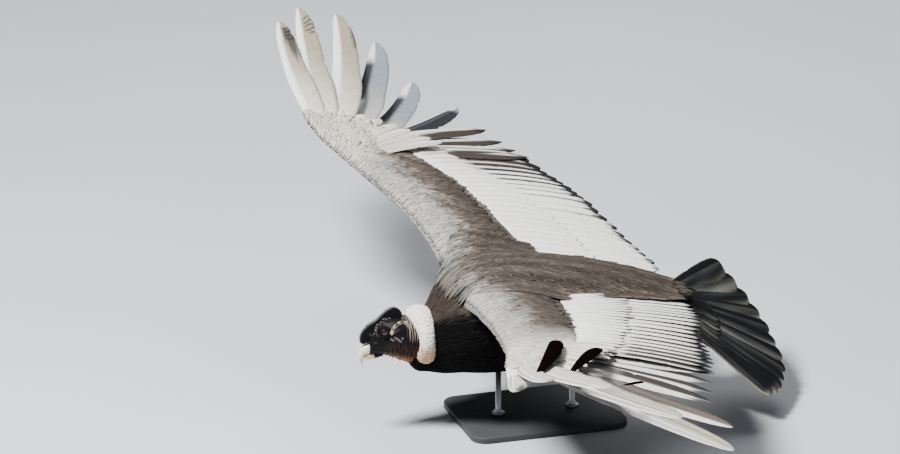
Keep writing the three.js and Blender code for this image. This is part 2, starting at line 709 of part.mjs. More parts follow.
function footSolids(sign) {
  const flip = (p) => V(p.x, p.y * sign, p.z);
  const heel = LEG.ankle.clone().add(V(-6, 0, 0));
  const pieces = [ellipsoid(flip(heel), V(17, 15, 11), V(0, 0, 0), [10, 6])];
  const rooms = [];
  const claws = {};
  for (const toe of TOES) {
    const end = heel.clone().add(toe.reach);
    const rise = toe.name === "hind" ? V(0, 0, -4) : V(0, 0, -7);
    const row = [0, 0.4, 0.85, 1].map((t) => heel.clone().lerp(end, t).addScaledVector(rise, Math.sin(Math.PI * t)));
    pieces.push(bar(row.map(flip), [9, 8, 7, 4.6].map((r) => r * (toe.name === "hind" ? 0.85 : 1)), 6));
    const along = toe.reach.clone().normalize();
    const line = [0, 0.35, 0.7, 1].map((t) =>
      flip(end.clone().addScaledVector(along, CLAW.length * toe.length * t).add(V(0, 0, -CLAW.hook * t * t))),
    );
    claws[toe.name] = bar(line, CLAW.radii, 6);
    const room = [line[0].clone().addScaledVector(flip(along), -GAP), ...line.slice(1)];
    rooms.push(bar(room, CLAW.radii.map((r) => r + 1.3 * GAP), 6));
  }
  return { foot: joined(pieces).subtract(joined(rooms)), claws };
}

// Stand: an oblong base plate and two upright rods into the belly
function standParts() {
  const shape = new THREE.Shape();
  const [a, b, r] = [BASE.length / 2, BASE.width / 2, BASE.corner];
  shape.moveTo(a - r, -b);
  shape.absarc(a - r, -b + r, r, -Math.PI / 2, 0);
  shape.absarc(a - r, b - r, r, 0, Math.PI / 2);
  shape.absarc(-a + r, b - r, r, Math.PI / 2, Math.PI);
  shape.absarc(-a + r, -b + r, r, Math.PI, 1.5 * Math.PI);
  const base = new THREE.ExtrudeGeometry(shape, { depth: BASE.thick, bevelEnabled: false, curveSegments: 6 });
  base.translate(BALANCE, 0, -BODY_LIFT);
  const rods = [1, -1].map((way) => {
    const rod = new THREE.CylinderGeometry(BASE.rod, BASE.rod, 400, 24);
    rod.rotateX(Math.PI / 2);
    rod.translate(BALANCE + (way * BASE.rodSpacing) / 2, 0, -BODY_LIFT + BASE.thick + GAP + 200);
    return solid(rod);
  });
  return { base: solid(base), rods };
}

// Assembly
const PAINT = {
  plumage: { color: 0x2b2724, roughness: 0.7 },
  wing: { color: 0xa8a196, roughness: 0.65 },
  down: { color: 0xf2efe8, roughness: 0.9 },
  skin: { color: 0x2e2623, roughness: 0.6 },
  horn: { color: 0xe6dcc4, roughness: 0.4 },
  eye: { color: 0x3a1d12, roughness: 0.1 },
  claw: { color: 0x1c1a18, roughness: 0.4 },
  foot: { color: 0x77716a, roughness: 0.7 },
  metal: { color: 0x8c8f92, roughness: 0.35, metalness: 1 },
  plinth: { color: 0x2a2b2d, roughness: 0.5 },
};
const bird = new THREE.Group();

function place(name, made, paint) {
  const whole = largest(solid(geometryOf(largest(made)), WELD));
  const mesh = new THREE.Mesh(geometryOf(whole), new THREE.MeshStandardMaterial(PAINT[paint]));
  mesh.name = name;
  bird.add(mesh);
}

const trunk = torso();
const trunkRoom = torso(GAP);
const skull = headSolid();
const comb = combSolid();
const combRoom = combSolid(GAP);
const neckFrom = 150 + GAP;
const neckTo = 178;
const hornFrom = 266;

// The mouth is one thin slanting cut between the two halves of the bill.
const MOUTH = { at: V(268, 0, -149.5), slope: 10, gape: 0.8 };
function mouthBlock(thick, below) {
  const block = new THREE.BoxGeometry(120, 90, thick);
  block.translate(0, 0, below ? -thick / 2 : 0);
  block.rotateY(radians(MOUTH.slope));
  block.translate(MOUTH.at.x, MOUTH.at.y, MOUTH.at.z);
  return solid(block);
}
const face = crossBlock(neckTo + GAP, hornFrom).subtract(mouthBlock(MOUTH.gape, false).intersect(crossBlock(244, 300)));
const horn = crossBlock(hornFrom + GAP, 330);
const upper = billUpper();
const lower = billLower().intersect(mouthBlock(60, true));
const bridge = skull.add(upper.intersect(crossBlock(240, hornFrom + 2))).add(lower.intersect(crossBlock(236, hornFrom + 2)));

place("torso", trunk, "plumage");
place("neck", skull.intersect(crossBlock(neckFrom, neckTo)), "skin");
place("head", bridge.subtract(combRoom).intersect(face), "skin");
place("comb", comb, "skin");
place("bill_upper", upper.subtract(combRoom).subtract(lower.add(mouthBlock(MOUTH.gape, false))).intersect(horn), "horn");
place("bill_lower", lower.subtract(mouthBlock(MOUTH.gape, false)).intersect(horn), "horn");
for (const [side, sign] of Object.entries(SIDES)) {
  const { centre, ball } = EYE;
  place(`eye_${side}`, ellipsoid(V(centre.x, sign * centre.y, centre.z), V(ball, ball, ball), V(0, 0, 0), [10, 6]), "eye");
}
place("ruff", ruffSolid().subtract(trunkRoom).subtract(solid(loft(headRings(GAP)))), "down");

for (const [side, sign] of Object.entries(SIDES)) {
  const core = wingCore(side);
  const arm = joined([core, ...armFeathers(side)]).subtract(trunkRoom).intersect(wristSide(side, false));
  const hand = joined([core, ...handFeathers(side)]).intersect(wristSide(side, true));
  place(`inner_wing_${side}`, arm, "wing");
  place(`outer_wing_${side}`, hand, "wing");
  place(`leg_${side}`, legSolid(sign).subtract(trunkRoom).subtract(crossBlock(-1000, LEG.ankle.x + 10)), "foot");
  const { foot, claws } = footSolids(sign);
  place(`foot_${side}`, foot.intersect(crossBlock(-1000, LEG.ankle.x + 10 - GAP)).subtract(trunkRoom), "foot");
  for (const [toe, claw] of Object.entries(claws)) place(`claw_${side}_${toe}`, claw, "claw");
}
place("tail", tailSolid().subtract(trunkRoom), "plumage");

const { base, rods } = standParts();
place("stand_base", base, "plinth");
place("stand_rod_front", rods[0].subtract(trunkRoom), "metal");
place("stand_rod_rear", rods[1].subtract(trunkRoom), "metal");

bird.rotation.z = Math.PI;
bird.position.set(BALANCE, 0, BODY_LIFT);
const condor = new THREE.Group();
condor.add(bird);

export default condor;
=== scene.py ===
# Andean condor, adult male, soaring: a life-size museum model on a plain stand. The bird is laid out in its
# own frame, in millimetres: f forward to the bill, l to its left wing, u up from the mid-point between the
# shoulders.
import math

import bpy
import numpy as np
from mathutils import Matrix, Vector


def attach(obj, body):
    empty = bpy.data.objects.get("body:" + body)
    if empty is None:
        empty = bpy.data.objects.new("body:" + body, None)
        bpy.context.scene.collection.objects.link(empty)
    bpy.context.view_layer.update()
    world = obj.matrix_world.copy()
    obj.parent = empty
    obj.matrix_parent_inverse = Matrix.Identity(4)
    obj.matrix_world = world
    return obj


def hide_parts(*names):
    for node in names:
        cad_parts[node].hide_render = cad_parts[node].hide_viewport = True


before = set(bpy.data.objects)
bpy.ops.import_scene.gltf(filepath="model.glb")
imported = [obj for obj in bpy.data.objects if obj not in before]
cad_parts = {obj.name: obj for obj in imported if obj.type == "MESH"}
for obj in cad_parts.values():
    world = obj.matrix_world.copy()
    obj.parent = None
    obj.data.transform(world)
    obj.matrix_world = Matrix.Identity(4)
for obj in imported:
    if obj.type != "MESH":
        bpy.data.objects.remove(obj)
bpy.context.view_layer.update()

# Studio: a wide pale floor, one large soft lamp high in front of the near wing, a broad weak one behind, and
# the camera where the photographer stood, far off on the bird's left, a little in front of it and above.
BALANCE = 155  # the balance point over the middle of the base, behind the shoulders
LIFT = 362  # shoulders above the floor
AZIMUTH, ELEVATION, CAMERA_AWAY = math.radians(-17), math.radians(21), 52.0
PHOTO_PIXEL = 0.00245
SHOULDER_PIXEL = (475, 285)
PHOTO_SIZE = (900, 454)


def towards(azimuth, elevation):
    return Vector((math.sin(azimuth) * math.cos(elevation), -math.cos(azimuth) * math.cos(elevation),
                   math.sin(elevation)))


def look_along(back):
    return back.to_track_quat("Z", "Y").to_euler()


to_camera = towards(AZIMUTH, ELEVATION)
camera_data = bpy.data.cameras.new("camera")
camera_data.sensor_width = 36
camera_data.lens = 36 * CAMERA_AWAY / (PHOTO_PIXEL * PHOTO_SIZE[0])
camera_data.clip_end = 4000
camera = bpy.data.objects.new("camera", camera_data)
camera.rotation_euler = look_along(to_camera)
camera_right = Vector((math.cos(AZIMUTH), math.sin(AZIMUTH), 0))
camera_up = to_camera.cross(camera_right)
shoulders = Vector((-BALANCE / 1000, 0, LIFT / 1000))
aim = (shoulders - camera_right * (SHOULDER_PIXEL[0] - PHOTO_SIZE[0] / 2) * PHOTO_PIXEL
       + camera_up * (SHOULDER_PIXEL[1] - PHOTO_SIZE[1] / 2) * PHOTO_PIXEL)
camera.location = aim + to_camera * CAMERA_AWAY
bpy.context.scene.collection.objects.link(camera)
bpy.context.scene.camera = camera

for name, azimuth, elevation, away, size, power in (
    ("key_lamp", -70, 58, 5.0, 1.2, 820),
    ("fill_lamp", 25, 30, 6.0, 4.0, 25),
    ("rear_lamp", 150, 40, 5.0, 2.5, 120),
):
    lamp_data = bpy.data.lights.new(name, "AREA")
    lamp_data.size = size
    lamp_data.energy = power
    lamp = bpy.data.objects.new(name, lamp_data)
    back = towards(math.radians(azimuth), math.radians(elevation))
    lamp.location = back * away + Vector((0, 0, 0.4))
    lamp.rotation_euler = look_along(back)
    bpy.context.scene.collection.objects.link(lamp)
room = bpy.data.worlds.new("room")
room.use_nodes = True
room.node_tree.nodes["Background"].inputs["Color"].default_value = (0.72, 0.78, 0.88, 1)
room.node_tree.nodes["Background"].inputs["Strength"].default_value = 0.16
bpy.context.scene.world = room


def finish(name, roughness=0.6, sheen=0.0, coat=0.0, metallic=0.0):
    """A new material and its nodes, with the numbers that hold all over the surface set on the sockets."""
    made = bpy.data.materials.new(name)
    made.use_nodes = True
    shader = made.node_tree.nodes["Principled BSDF"]
    shader.inputs["Roughness"].default_value = roughness
    shader.inputs["Sheen Weight"].default_value = sheen
    shader.inputs["Coat Weight"].default_value = coat
    shader.inputs["Metallic"].default_value = metallic
    return made, made.node_tree, shader


def add_node(tree, kind, links=None, **settings):
    node = tree.nodes.new(kind)
    for key, value in settings.items():
        if key in node.bl_rna.properties:
            setattr(node, key, value)
        else:
            node.inputs[key.replace("_", " ")].default_value = value
    for socket, source in (links or {}).items():
        tree.links.new(source, node.inputs[socket])
    return node


def point_tint(tree):
    return add_node(tree, "ShaderNodeVertexColor", layer_name="tint").outputs["Color"]


def pattern(tree, kind, **settings):
    """A texture that is fixed to the object."""
    return add_node(tree, kind, {"Vector": add_node(tree, "ShaderNodeTexCoord").outputs["Object"]},
                    **settings)


def two_tones(tree, shader, amount, low, high):
    ramp = add_node(tree, "ShaderNodeValToRGB", {"Fac": amount})
    for stop, colour in zip(ramp.color_ramp.elements, (low, high)):
        stop.color = (*colour, 1)
    tree.links.new(ramp.outputs["Color"], shader.inputs["Base Color"])


def emboss(tree, shader, height, strength, depth):
    relief = add_node(tree, "ShaderNodeBump", {"Height": height}, Strength=strength, Distance=depth)
    tree.links.new(relief.outputs["Normal"], shader.inputs["Normal"])


def between_ends(tree, amount, low, high):
    made = add_node(tree, "ShaderNodeMapRange", {"Value": amount})
    made.inputs["To Min"].default_value, made.inputs["To Max"].default_value = low, high
    return made.outputs["Result"]


floor_finish, tree, shader = finish("floor_paper", roughness=0.85)
place = add_node(tree, "ShaderNodeNewGeometry").outputs["Position"]
grain = add_node(tree, "ShaderNodeTexNoise", {"Vector": place}, Scale=1.4, Detail=3.0)
two_tones(tree, shader, grain.outputs["Fac"], (0.50, 0.515, 0.54), (0.56, 0.575, 0.60))
floor_mesh = bpy.data.meshes.new("floor")
reach = 40.0
floor_mesh.from_pydata([(-reach, -reach, 0), (reach, -reach, 0), (reach, reach, 0), (-reach, reach, 0)], [],
                       [(0, 1, 2, 3)])
floor = bpy.data.objects.new("floor", floor_mesh)
floor.data.materials.append(floor_finish)
bpy.context.scene.collection.objects.link(floor)

# Body skin: in life the plucked body under the feathers. One closed surface over torso, wing arms and tail
# root, moulded in one piece, and it carries the same dark and pale tones as the plumage over it, the painted
# sheen along the wing's edge among them.
BODY = {
    "station": [168, 150, 130, 110, 80, 40, -20, -100, -190, -280, -370, -450, -520, -556, -572],
    "top": [-68, -63, -53, -30, 16, 46, 62, 60, 48, 28, 2, -26, -50, -66, -82],
    "bottom": [-168, -174, -184, -198, -211, -219, -225, -225, -218, -204, -184, -158, -130, -112, -98],
    "half": [44, 50, 60, 77, 106, 130, 144, 148, 142, 128, 108, 86, 60, 38, 12],
}
WING = {
    "edge_out": [40, 105, 210, 320, 425, 530, 680, 805, 910, 985],
    "edge_forward": [52, 58, 67, 80, 92, 106, 132, 172, 186, 184],
    "edge_height": {1: [-20, -7, 16, 35, 53, 66, 84, 106, 131, 150],
                    -1: [10, 29, 60, 78, 84, 87, 97, 130, 166, 190]},
    "trail_out": [120, 200, 300, 450, 570, 690, 760],
    "trail_forward": [-522, -512, -491, -450, -425, -397, -374],
    "trail_height": {1: [-62, -53, -34, -18, -8, 6, 11], -1: [-64, -54, -42, -4, 3, 6, 18]},
    "core_out": [40, 210, 425, 600, 680, 760, 830, 880],
    "core_chord": [250, 245, 232, 212, 186, 136, 84, 40],
    "core_thick": [64, 56, 42, 34, 30, 24, 17, 10],
    "camber": 24,
}
BELT_SHARE = 0.54  # the widest line of the body, up from its underside
COAT_DEPTH = 7
SKIN_VOXEL = 0.006
LEFT, RIGHT = 1, -1
SIDES = ((LEFT, "left"), (RIGHT, "right"))


def between(xs, ys, x):
    """A smooth value from a table of named ones."""
    xs, ys, x = np.asarray(xs, float), np.asarray(ys, float), np.asarray(x, float)
    if xs[1] < xs[0]:
        xs, ys = xs[::-1], ys[::-1]
    slopes = np.empty_like(ys)
    slopes[1:-1] = (ys[2:] - ys[:-2]) / (xs[2:] - xs[:-2])
    slopes[0] = (ys[1] - ys[0]) / (xs[1] - xs[0])
    slopes[-1] = (ys[-1] - ys[-2]) / (xs[-1] - xs[-2])
    i = np.clip(np.searchsorted(xs, x) - 1, 0, len(xs) - 2)
    step = xs[i + 1] - xs[i]
    t = (x - xs[i]) / step
    return ((2 * t ** 3 - 3 * t ** 2 + 1) * ys[i] + (t ** 3 - 2 * t ** 2 + t) * slopes[i] * step
            + (3 * t ** 2 - 2 * t ** 3) * ys[i + 1] + (t ** 3 - t ** 2) * slopes[i + 1] * step)


def mix(a, b, t):
    return a + (b - a) * t


def ease(low, high, x):
    t = np.clip((x - low) / (high - low), 0, 1)
    return t * t * (3 - 2 * t)


def circle(count):
    return np.linspace(0, 2 * np.pi, count, endpoint=False)


def unit(v):
    return v / np.maximum(np.linalg.norm(v, axis=-1, keepdims=True), 1e-12)


def body_sizes(x):
    """Half width, top and bottom of the body at a station."""
    return (between(BODY["station"], BODY[key], x) for key in ("half", "top", "bottom"))


def body_point(x, angle, grow=0.0):
    half, top, bottom = body_sizes(x)
    half, top, bottom = half + grow, top + grow, bottom - grow
    belt = mix(bottom, top, BELT_SHARE)
    c, s = np.cos(angle), np.sin(angle)
    side = half * np.sign(c) * np.abs(c) ** 0.92
    height = belt + np.where(s > 0, top - belt, belt - bottom) * np.sign(s) * np.abs(s) ** 0.95
    return np.stack(np.broadcast_arrays(np.asarray(x, float), side, height), -1)


def wing_point(side, out, chord, lift=0.0):
    """The wing's middle surface, from its leading edge, chord 0, to the tips of the secondaries, chord 1."""
    out = np.asarray(out, float)
    behind = np.minimum(out, 760)
    lead = np.stack([between(WING["edge_out"], WING["edge_forward"], out), out,
                     between(WING["edge_out"], WING["edge_height"][side], out)], -1)
    trail = np.stack([between(WING["trail_out"], WING["trail_forward"], behind), out,
                      between(WING["trail_out"], WING["trail_height"][side], behind)], -1)
    chord = np.asarray(chord, float)[..., None]
    p = mix(lead, trail, chord)
    p[..., 2] += (WING["camber"] * 4 * chord * (1 - chord))[..., 0] + lift
    p[..., 1] *= side
    return p


def foil_half(x):
    return 0.5 * (2.97 * np.sqrt(x) - 1.26 * x - 3.52 * x * x + 2.84 * x ** 3 - 1.02 * x ** 4)


def wing_skin(side, out, back, lift=0.0, face=1):
    """The outer surface of the fleshy wing arm, so many millimetres behind the leading edge."""
    out = np.asarray(out, float)
    span = (between(WING["edge_out"], WING["edge_forward"], out)
            - between(WING["trail_out"], WING["trail_forward"], np.minimum(out, 760)))
    x = np.clip(back / between(WING["core_out"], WING["core_chord"], out), 0, 1)
    thick = between(WING["core_out"], WING["core_thick"], out)
    p = wing_point(side, out, back / span)
    p[..., 2] += face * (foil_half(x) * thick * (1.1 if face > 0 else 0.9) + lift)
    return p


def loft(rings):
    """Points and faces of a closed surface through rings of equal count, with a fan over each end."""
    rings = np.asarray(rings, float)
    rows, count = rings.shape[:2]
    points = np.concatenate([rings.reshape(-1, 3), rings[:1].mean(1), rings[-1:].mean(1)])
    r, i = np.meshgrid(np.arange(rows - 1), np.arange(count), indexing="ij")
    j = (i + 1) % count
    faces = np.stack([r * count + i, r * count + j, (r + 1) * count + j, (r + 1) * count + i],
                     -1).reshape(-1, 4)
    i = np.arange(count)
    j = (i + 1) % count
    first, last = rows * count, (rows - 1) * count
    ends = np.concatenate([np.stack([np.full(count, first), j, i], -1),
                           np.stack([np.full(count, first + 1), last + i, last + j], -1)])
    return points, faces, ends


def gather(parts):
    """Several point and face sets as one."""
    points, quads, triangles, start = [], [], [], 0
    for p, q, t in parts:
        points.append(p)
        quads.append(q + start)
        triangles.append(t + start)
        start += len(p)
    return np.concatenate(points), np.concatenate(quads), np.concatenate(triangles)


def to_floor(p):
    """From the bird's millimetres to the model's metres."""
    p = np.asarray(p, float)
    return np.stack([-p[..., 0] - BALANCE, -p[..., 1], p[..., 2] + LIFT], -1) / 1000


def mesh_of(name, points, quads, triangles, tint=None, bake=None, barb=None):
    """A mesh with its point colours, its bake map and, for feathers, a map in metres over the vane."""
    mesh = bpy.data.meshes.new(name)
    corners = np.concatenate([quads.ravel(), triangles.ravel()]).astype(np.int32)
    sizes = np.concatenate([np.full(len(quads), 4), np.full(len(triangles), 3)]).astype(np.int32)
    mesh.vertices.add(len(points))
    mesh.vertices.foreach_set("co", to_floor(points).astype(np.float32).ravel())
    mesh.loops.add(len(corners))
    mesh.loops.foreach_set("vertex_index", corners)
    mesh.polygons.add(len(sizes))
    mesh.polygons.foreach_set("loop_start", (np.cumsum(sizes) - sizes).astype(np.int32))
    mesh.polygons.foreach_set("loop_total", sizes)
    mesh.update(calc_edges=True)
    mesh.validate()
    mesh.polygons.foreach_set("use_smooth", np.ones(len(mesh.polygons), bool))
    if tint is not None:
        layer = mesh.color_attributes.new("tint", "FLOAT_COLOR", "POINT")
        rgba = np.concatenate([tint, np.ones((len(tint), 1))], 1).astype(np.float32)
        layer.data.foreach_set("color", rgba.ravel())
    for map_name, values in (("OFBake", bake), ("barb", barb)):
        if values is not None:
            layer = mesh.uv_layers.new(name=map_name)
            layer.data.foreach_set("uv", values[corners].astype(np.float32).ravel())
    return mesh


def show(name, mesh, material, slot, *replaced):
    piece = bpy.data.objects.new(name, mesh)
    piece.data.materials.append(material)
    bpy.context.scene.collection.objects.link(piece)
    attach(piece, "root")
    if replaced:
        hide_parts(*replaced)
    return piece


def moulded(mesh, voxel, smoothing=4):
    """The same solids melted into one surface."""
    rough = bpy.data.objects.new("rough", mesh)
    bpy.context.scene.collection.objects.link(rough)
    melt = rough.modifiers.new("melt", "REMESH")
    melt.mode, melt.voxel_size, melt.use_smooth_shade = "VOXEL", voxel, True
    soften = rough.modifiers.new("soften", "SMOOTH")
    soften.factor, soften.iterations = 0.5, smoothing
    view = bpy.context.evaluated_depsgraph_get()
    made = bpy.data.meshes.new_from_object(rough.evaluated_get(view))
    bpy.data.objects.remove(rough)
    return made


around = circle(48)
stations = 150 - 690 * np.sin(np.pi / 2 * np.linspace(0, 1, 60) ** 1.1)
trunk = loft([body_point(x, around, -COAT_DEPTH) for x in stations])
arms = []
for side in (LEFT, RIGHT):
    outs = np.linspace(60, 872, 70)
    shares = np.linspace(0, 1, 20) ** 2
    rings = []
    for out in outs:
        chord = between(WING["core_out"], WING["core_chord"], out)
        upper = wing_skin(side, np.full(20, out), shares * chord, -2.5, 1)
        lower = wing_skin(side, np.full(20, out), shares * chord, -2.5, -1)
        lower[:, 2] = np.minimum(lower[:, 2], upper[:, 2] - 1.5)
        ring = np.concatenate([upper, lower[::-1]])
        rings.append(ring if side == LEFT else ring[::-1])
    arms.append(loft(rings))
body_skin = moulded(mesh_of("body_skin", *gather([trunk, *arms])), SKIN_VOXEL)

# Flight feathers of the arm: eighteen broad secondaries a side. Keratin vanes on a tapering shaft, each
# rooted on the rear of the forearm and lapped over the next one out.
FLIGHT_VANE = ([0, .06, .14, .3, .5, .7, .84, .92, .96, .985, 1],
               [.5, .75, .9, 1, 1, 1, .95, .78, .56, .3, .06])
SECONDARIES = 18


def stations_of(shape, count):
    t = np.linspace(0, 1, count)
    t = 1 - (1 - t) ** 1.25
    return t, np.interp(t, *shape)


def vanes(root, bend, tip, side, up, width, shape, columns=3, outer=0.5, tilt=0.0, arch=0.0, thick=0.5,
          ridge=0.0, open_edge=False, nicks=None):
    """Feathers as thin closed blades along bent shafts. Returns points, faces, and for every point its
    feather, its share along, its signed share across (above 0 on the leading side) and whether it is on top.
    """
    t, w = shape
    n = len(root)
    t = np.asarray(t, float)
    w = np.broadcast_to(np.asarray(w, float), (n, len(t)))
    width = np.broadcast_to(np.asarray(width, float), (n,))
    outer = np.broadcast_to(np.asarray(outer, float), (n,))
    tilt = np.broadcast_to(np.asarray(tilt, float), (n,))
    tt = t[None, :, None]
    path = ((1 - tt) ** 2 * root[:, None] + 2 * tt * (1 - tt) * bend[:, None] + tt ** 2 * tip[:, None])
    along = unit(2 * (1 - tt) * (bend - root)[:, None] + 2 * tt * (tip - bend)[:, None])
    normal = unit(up[:, None] - (up[:, None] * along).sum(-1, keepdims=True) * along)
    across = np.cross(along, normal)
    flip = np.sign((across[:, 0] * side).sum(-1))
    flip[flip == 0] = 1
    lean = (tilt * flip)[:, None, None]
    across, normal = (np.cos(lean) * across + np.sin(lean) * normal,
                      np.cos(lean) * normal - np.sin(lean) * across)
    s = np.linspace(-1, 1, columns)
    signed = s[None] * flip[:, None]
    share = np.where(signed > 0, outer[:, None], 1 - outer[:, None])
    edge = (width[:, None] * w)[:, :, None] * np.ones((1, 1, columns))
    if nicks is not None:
        edge = edge * nicks
    offset = edge * (share * s)[:, None]
    drop = arch * (np.abs(s) ** 1.7)[None, None] * w[:, :, None]
    face = path[:, :, None] + across[:, :, None] * offset[..., None] - normal[:, :, None] * drop[..., None]
    body = (1 - 0.75 * s ** 2) if open_edge else (1 - s ** 2)
    half = thick / 2 * body[None, None] * (1 - 0.6 * t)[None, :, None]
    rise = ridge * np.exp(-(s * columns * 0.45) ** 2)[None, None] * (1 - 0.8 * t)[None, :, None]
    top = face + normal[:, :, None] * (half + rise)[..., None]
    low = face - normal[:, :, None] * (half + 0.6 * rise)[..., None]
    low_columns = slice(None) if open_edge else slice(1, -1)
    block = np.concatenate([top, low[:, :, low_columns]], 2)
    per_row = block.shape[2]
    rows = len(t)
    if open_edge:
        low_id = list(range(columns, 2 * columns))
    else:
        low_id = [0, *range(columns, 2 * columns - 2), columns - 1]
    quads, triangles = [], []
    for r in range(rows - 1):
        a, b = r * per_row, (r + 1) * per_row
        for c in range(columns - 1):
            quads.append((a + c, b + c, b + c + 1, a + c + 1))
            quads.append((a + low_id[c + 1], b + low_id[c + 1], b + low_id[c], a + low_id[c]))
        if open_edge:
            quads.append((a + low_id[0], b + low_id[0], b, a))
            last = columns - 1
            quads.append((a + last, b + last, b + low_id[last], a + low_id[last]))
    for r, turned in ((0, False), (rows - 1, True)):
        a = r * per_row
        for c in range(columns - 1):
            ring = [a + c, a + c + 1, a + low_id[c + 1], a + low_id[c]]
            ring = [v for k, v in enumerate(ring) if v not in ring[:k]]
            if turned:
                ring = ring[::-1]
            for k in range(1, len(ring) - 1):
                triangles.append((ring[0], ring[k], ring[k + 1]))
    step = np.arange(n)[:, None, None] * rows * per_row
    quads = (np.array(quads)[None] + step).reshape(-1, 4)
    triangles = (np.array(triangles)[None] + step).reshape(-1, 3)
    kept = np.concatenate([s, s[low_columns]])
    upper = np.concatenate([np.ones(columns), np.zeros(len(s[low_columns]))])
    shape3 = (n, rows, per_row)
    marks = {
        "feather": np.broadcast_to(np.arange(n)[:, None, None], shape3).ravel(),
        "t": np.broadcast_to(t[None, :, None], shape3).ravel(),
        "s": (kept[None, None] * flip[:, None, None] * np.ones(shape3)).ravel(),
        "top": np.broadcast_to(upper[None, None], shape3).ravel(),
        "length": np.linalg.norm(tip - root, axis=-1),
        "width": width,
    }
    return block.reshape(-1, 3), quads, triangles, marks


def barb_map(marks):
    """Metres across and along each vane, which the barbs of its finish follow."""
    n = marks["feather"]
    return np.stack([marks["s"] * marks["width"][n] / 2000, marks["t"] * marks["length"][n] / 1000], -1)


def island_map(marks, start=0, total=None):
    """A bake island for each large feather, its top beside its underside."""
    n = marks["feather"] + start
    total = total or (n.max() + 1)
    per_row = int(math.ceil(math.sqrt(total * 3)))
    lane = 2 * n + (1 - marks["top"])
    column, row = lane % (2 * per_row), lane // (2 * per_row)
    rows = math.ceil(2 * total / (2 * per_row))
    u = (column + 0.5 + 0.44 * marks["s"]) / (2 * per_row)
    v = (row + 0.03 + 0.94 * marks["t"]) / rows
    return np.stack([u, v], -1)


def plumage(name, roughness, shine, barb_depth):
    """Feather finish: the point colours, darkened between the barbs, with fine oblique barb relief."""
    made, tree, shader = finish(name, roughness=roughness)
    shader.inputs["Specular IOR Level"].default_value = shine
    tint = point_tint(tree)
    vane_map = add_node(tree, "ShaderNodeUVMap", uv_map="barb").outputs["UV"]
    parts = add_node(tree, "ShaderNodeSeparateXYZ", {"Vector": vane_map})
    side = add_node(tree, "ShaderNodeMath", {0: parts.outputs["X"]}, operation="ABSOLUTE").outputs[0]
    slant = add_node(tree, "ShaderNodeMath", {0: side}, operation="MULTIPLY")
    slant.inputs[1].default_value = 0.9
    run = add_node(tree, "ShaderNodeMath", {0: parts.outputs["Y"], 1: slant.outputs[0]},
                   operation="SUBTRACT")
    barbs = add_node(tree, "ShaderNodeCombineXYZ", {"X": run.outputs[0]})
    across = add_node(tree, "ShaderNodeMath", {0: parts.outputs["X"]}, operation="MULTIPLY")
    across.inputs[1].default_value = 0.12
    tree.links.new(across.outputs[0], barbs.inputs["Y"])
    lines = add_node(tree, "ShaderNodeTexNoise", {"Vector": barbs.outputs[0]}, Scale=900.0, Detail=2.0)
    clumps = add_node(tree, "ShaderNodeTexNoise", {"Vector": barbs.outputs[0]}, Scale=160.0, Detail=2.0)
    both = add_node(tree, "ShaderNodeMath", {0: lines.outputs["Fac"], 1: clumps.outputs["Fac"]},
                    operation="ADD")
    shade = add_node(tree, "ShaderNodeMapRange", {"Value": both.outputs[0]})
    for socket, value in (("From Min", 0.6), ("From Max", 1.4), ("To Min", 0.72), ("To Max", 1.12)):
        shade.inputs[socket].default_value = value
    colour = add_node(tree, "ShaderNodeVectorMath", {0: tint}, operation="SCALE")
    tree.links.new(shade.outputs["Result"], colour.inputs["Scale"])
    tree.links.new(colour.outputs[0], shader.inputs["Base Color"])
    emboss(tree, shader, lines.outputs["Fac"], 0.35, barb_depth)
    return made


def noise_of(rng, n, spread):
    return 1 + spread * (rng.random(n) * 2 - 1)


def ragged(rng, n, t, columns, amount=0.05, splits=2):
    """Slightly uneven vane edges with a few splits between the barbs."""
    edge = 1 + amount * 0.5 * (rng.random((n, len(t), 1)) - 0.5) * np.ones((1, 1, columns))
    for _ in range(splits):
        where = rng.random((n, 2)) * 0.75 + 0.2
        for k, columns_hit in enumerate((slice(0, 1), slice(columns - 1, columns))):
            near = np.exp(-((t[None] - where[:, k:k + 1]) / 0.012) ** 2) * (rng.random((n, 1)) < 0.5)
            edge[:, :, columns_hit] -= (amount * 3.2 * near)[:, :, None]
    return edge


WHITE = np.array([0.86, 0.85, 0.82])
IVORY = np.array([0.64, 0.60, 0.52])
SILVER = np.array([0.44, 0.425, 0.39])
GREY_BROWN = np.array([0.092, 0.074, 0.060])
DARK_BROWN = np.array([0.026, 0.018, 0.013])
SOOT = np.array([0.0035, 0.0030, 0.0032])
SHAFT = np.array([0.80, 0.76, 0.68])
flight_finish = plumage("flight_feathers", 0.5, 0.10, 0.0004)


def wing_up(side, out, chord, reach=30.0):
    across = wing_point(side, out + reach, chord) - wing_point(side, out - reach, chord)
    return unit(np.stack([np.full(len(out), -0.05), -across[:, 2] / across[:, 1], np.ones(len(out))], -1))


def paint(marks, under, shaft=SHAFT, shaft_width=0.05):
    """Puts the pale shaft on top and the darker colour underneath."""
    def over(tint):
        on_shaft = np.exp(-(marks["s"] / shaft_width) ** 2)[:, None] * marks["top"][:, None]
        return np.where(marks["top"][:, None] > 0.5,
                        mix(tint, np.minimum(shaft, tint * 3 + 0.003), on_shaft * 0.85), under)
    return over


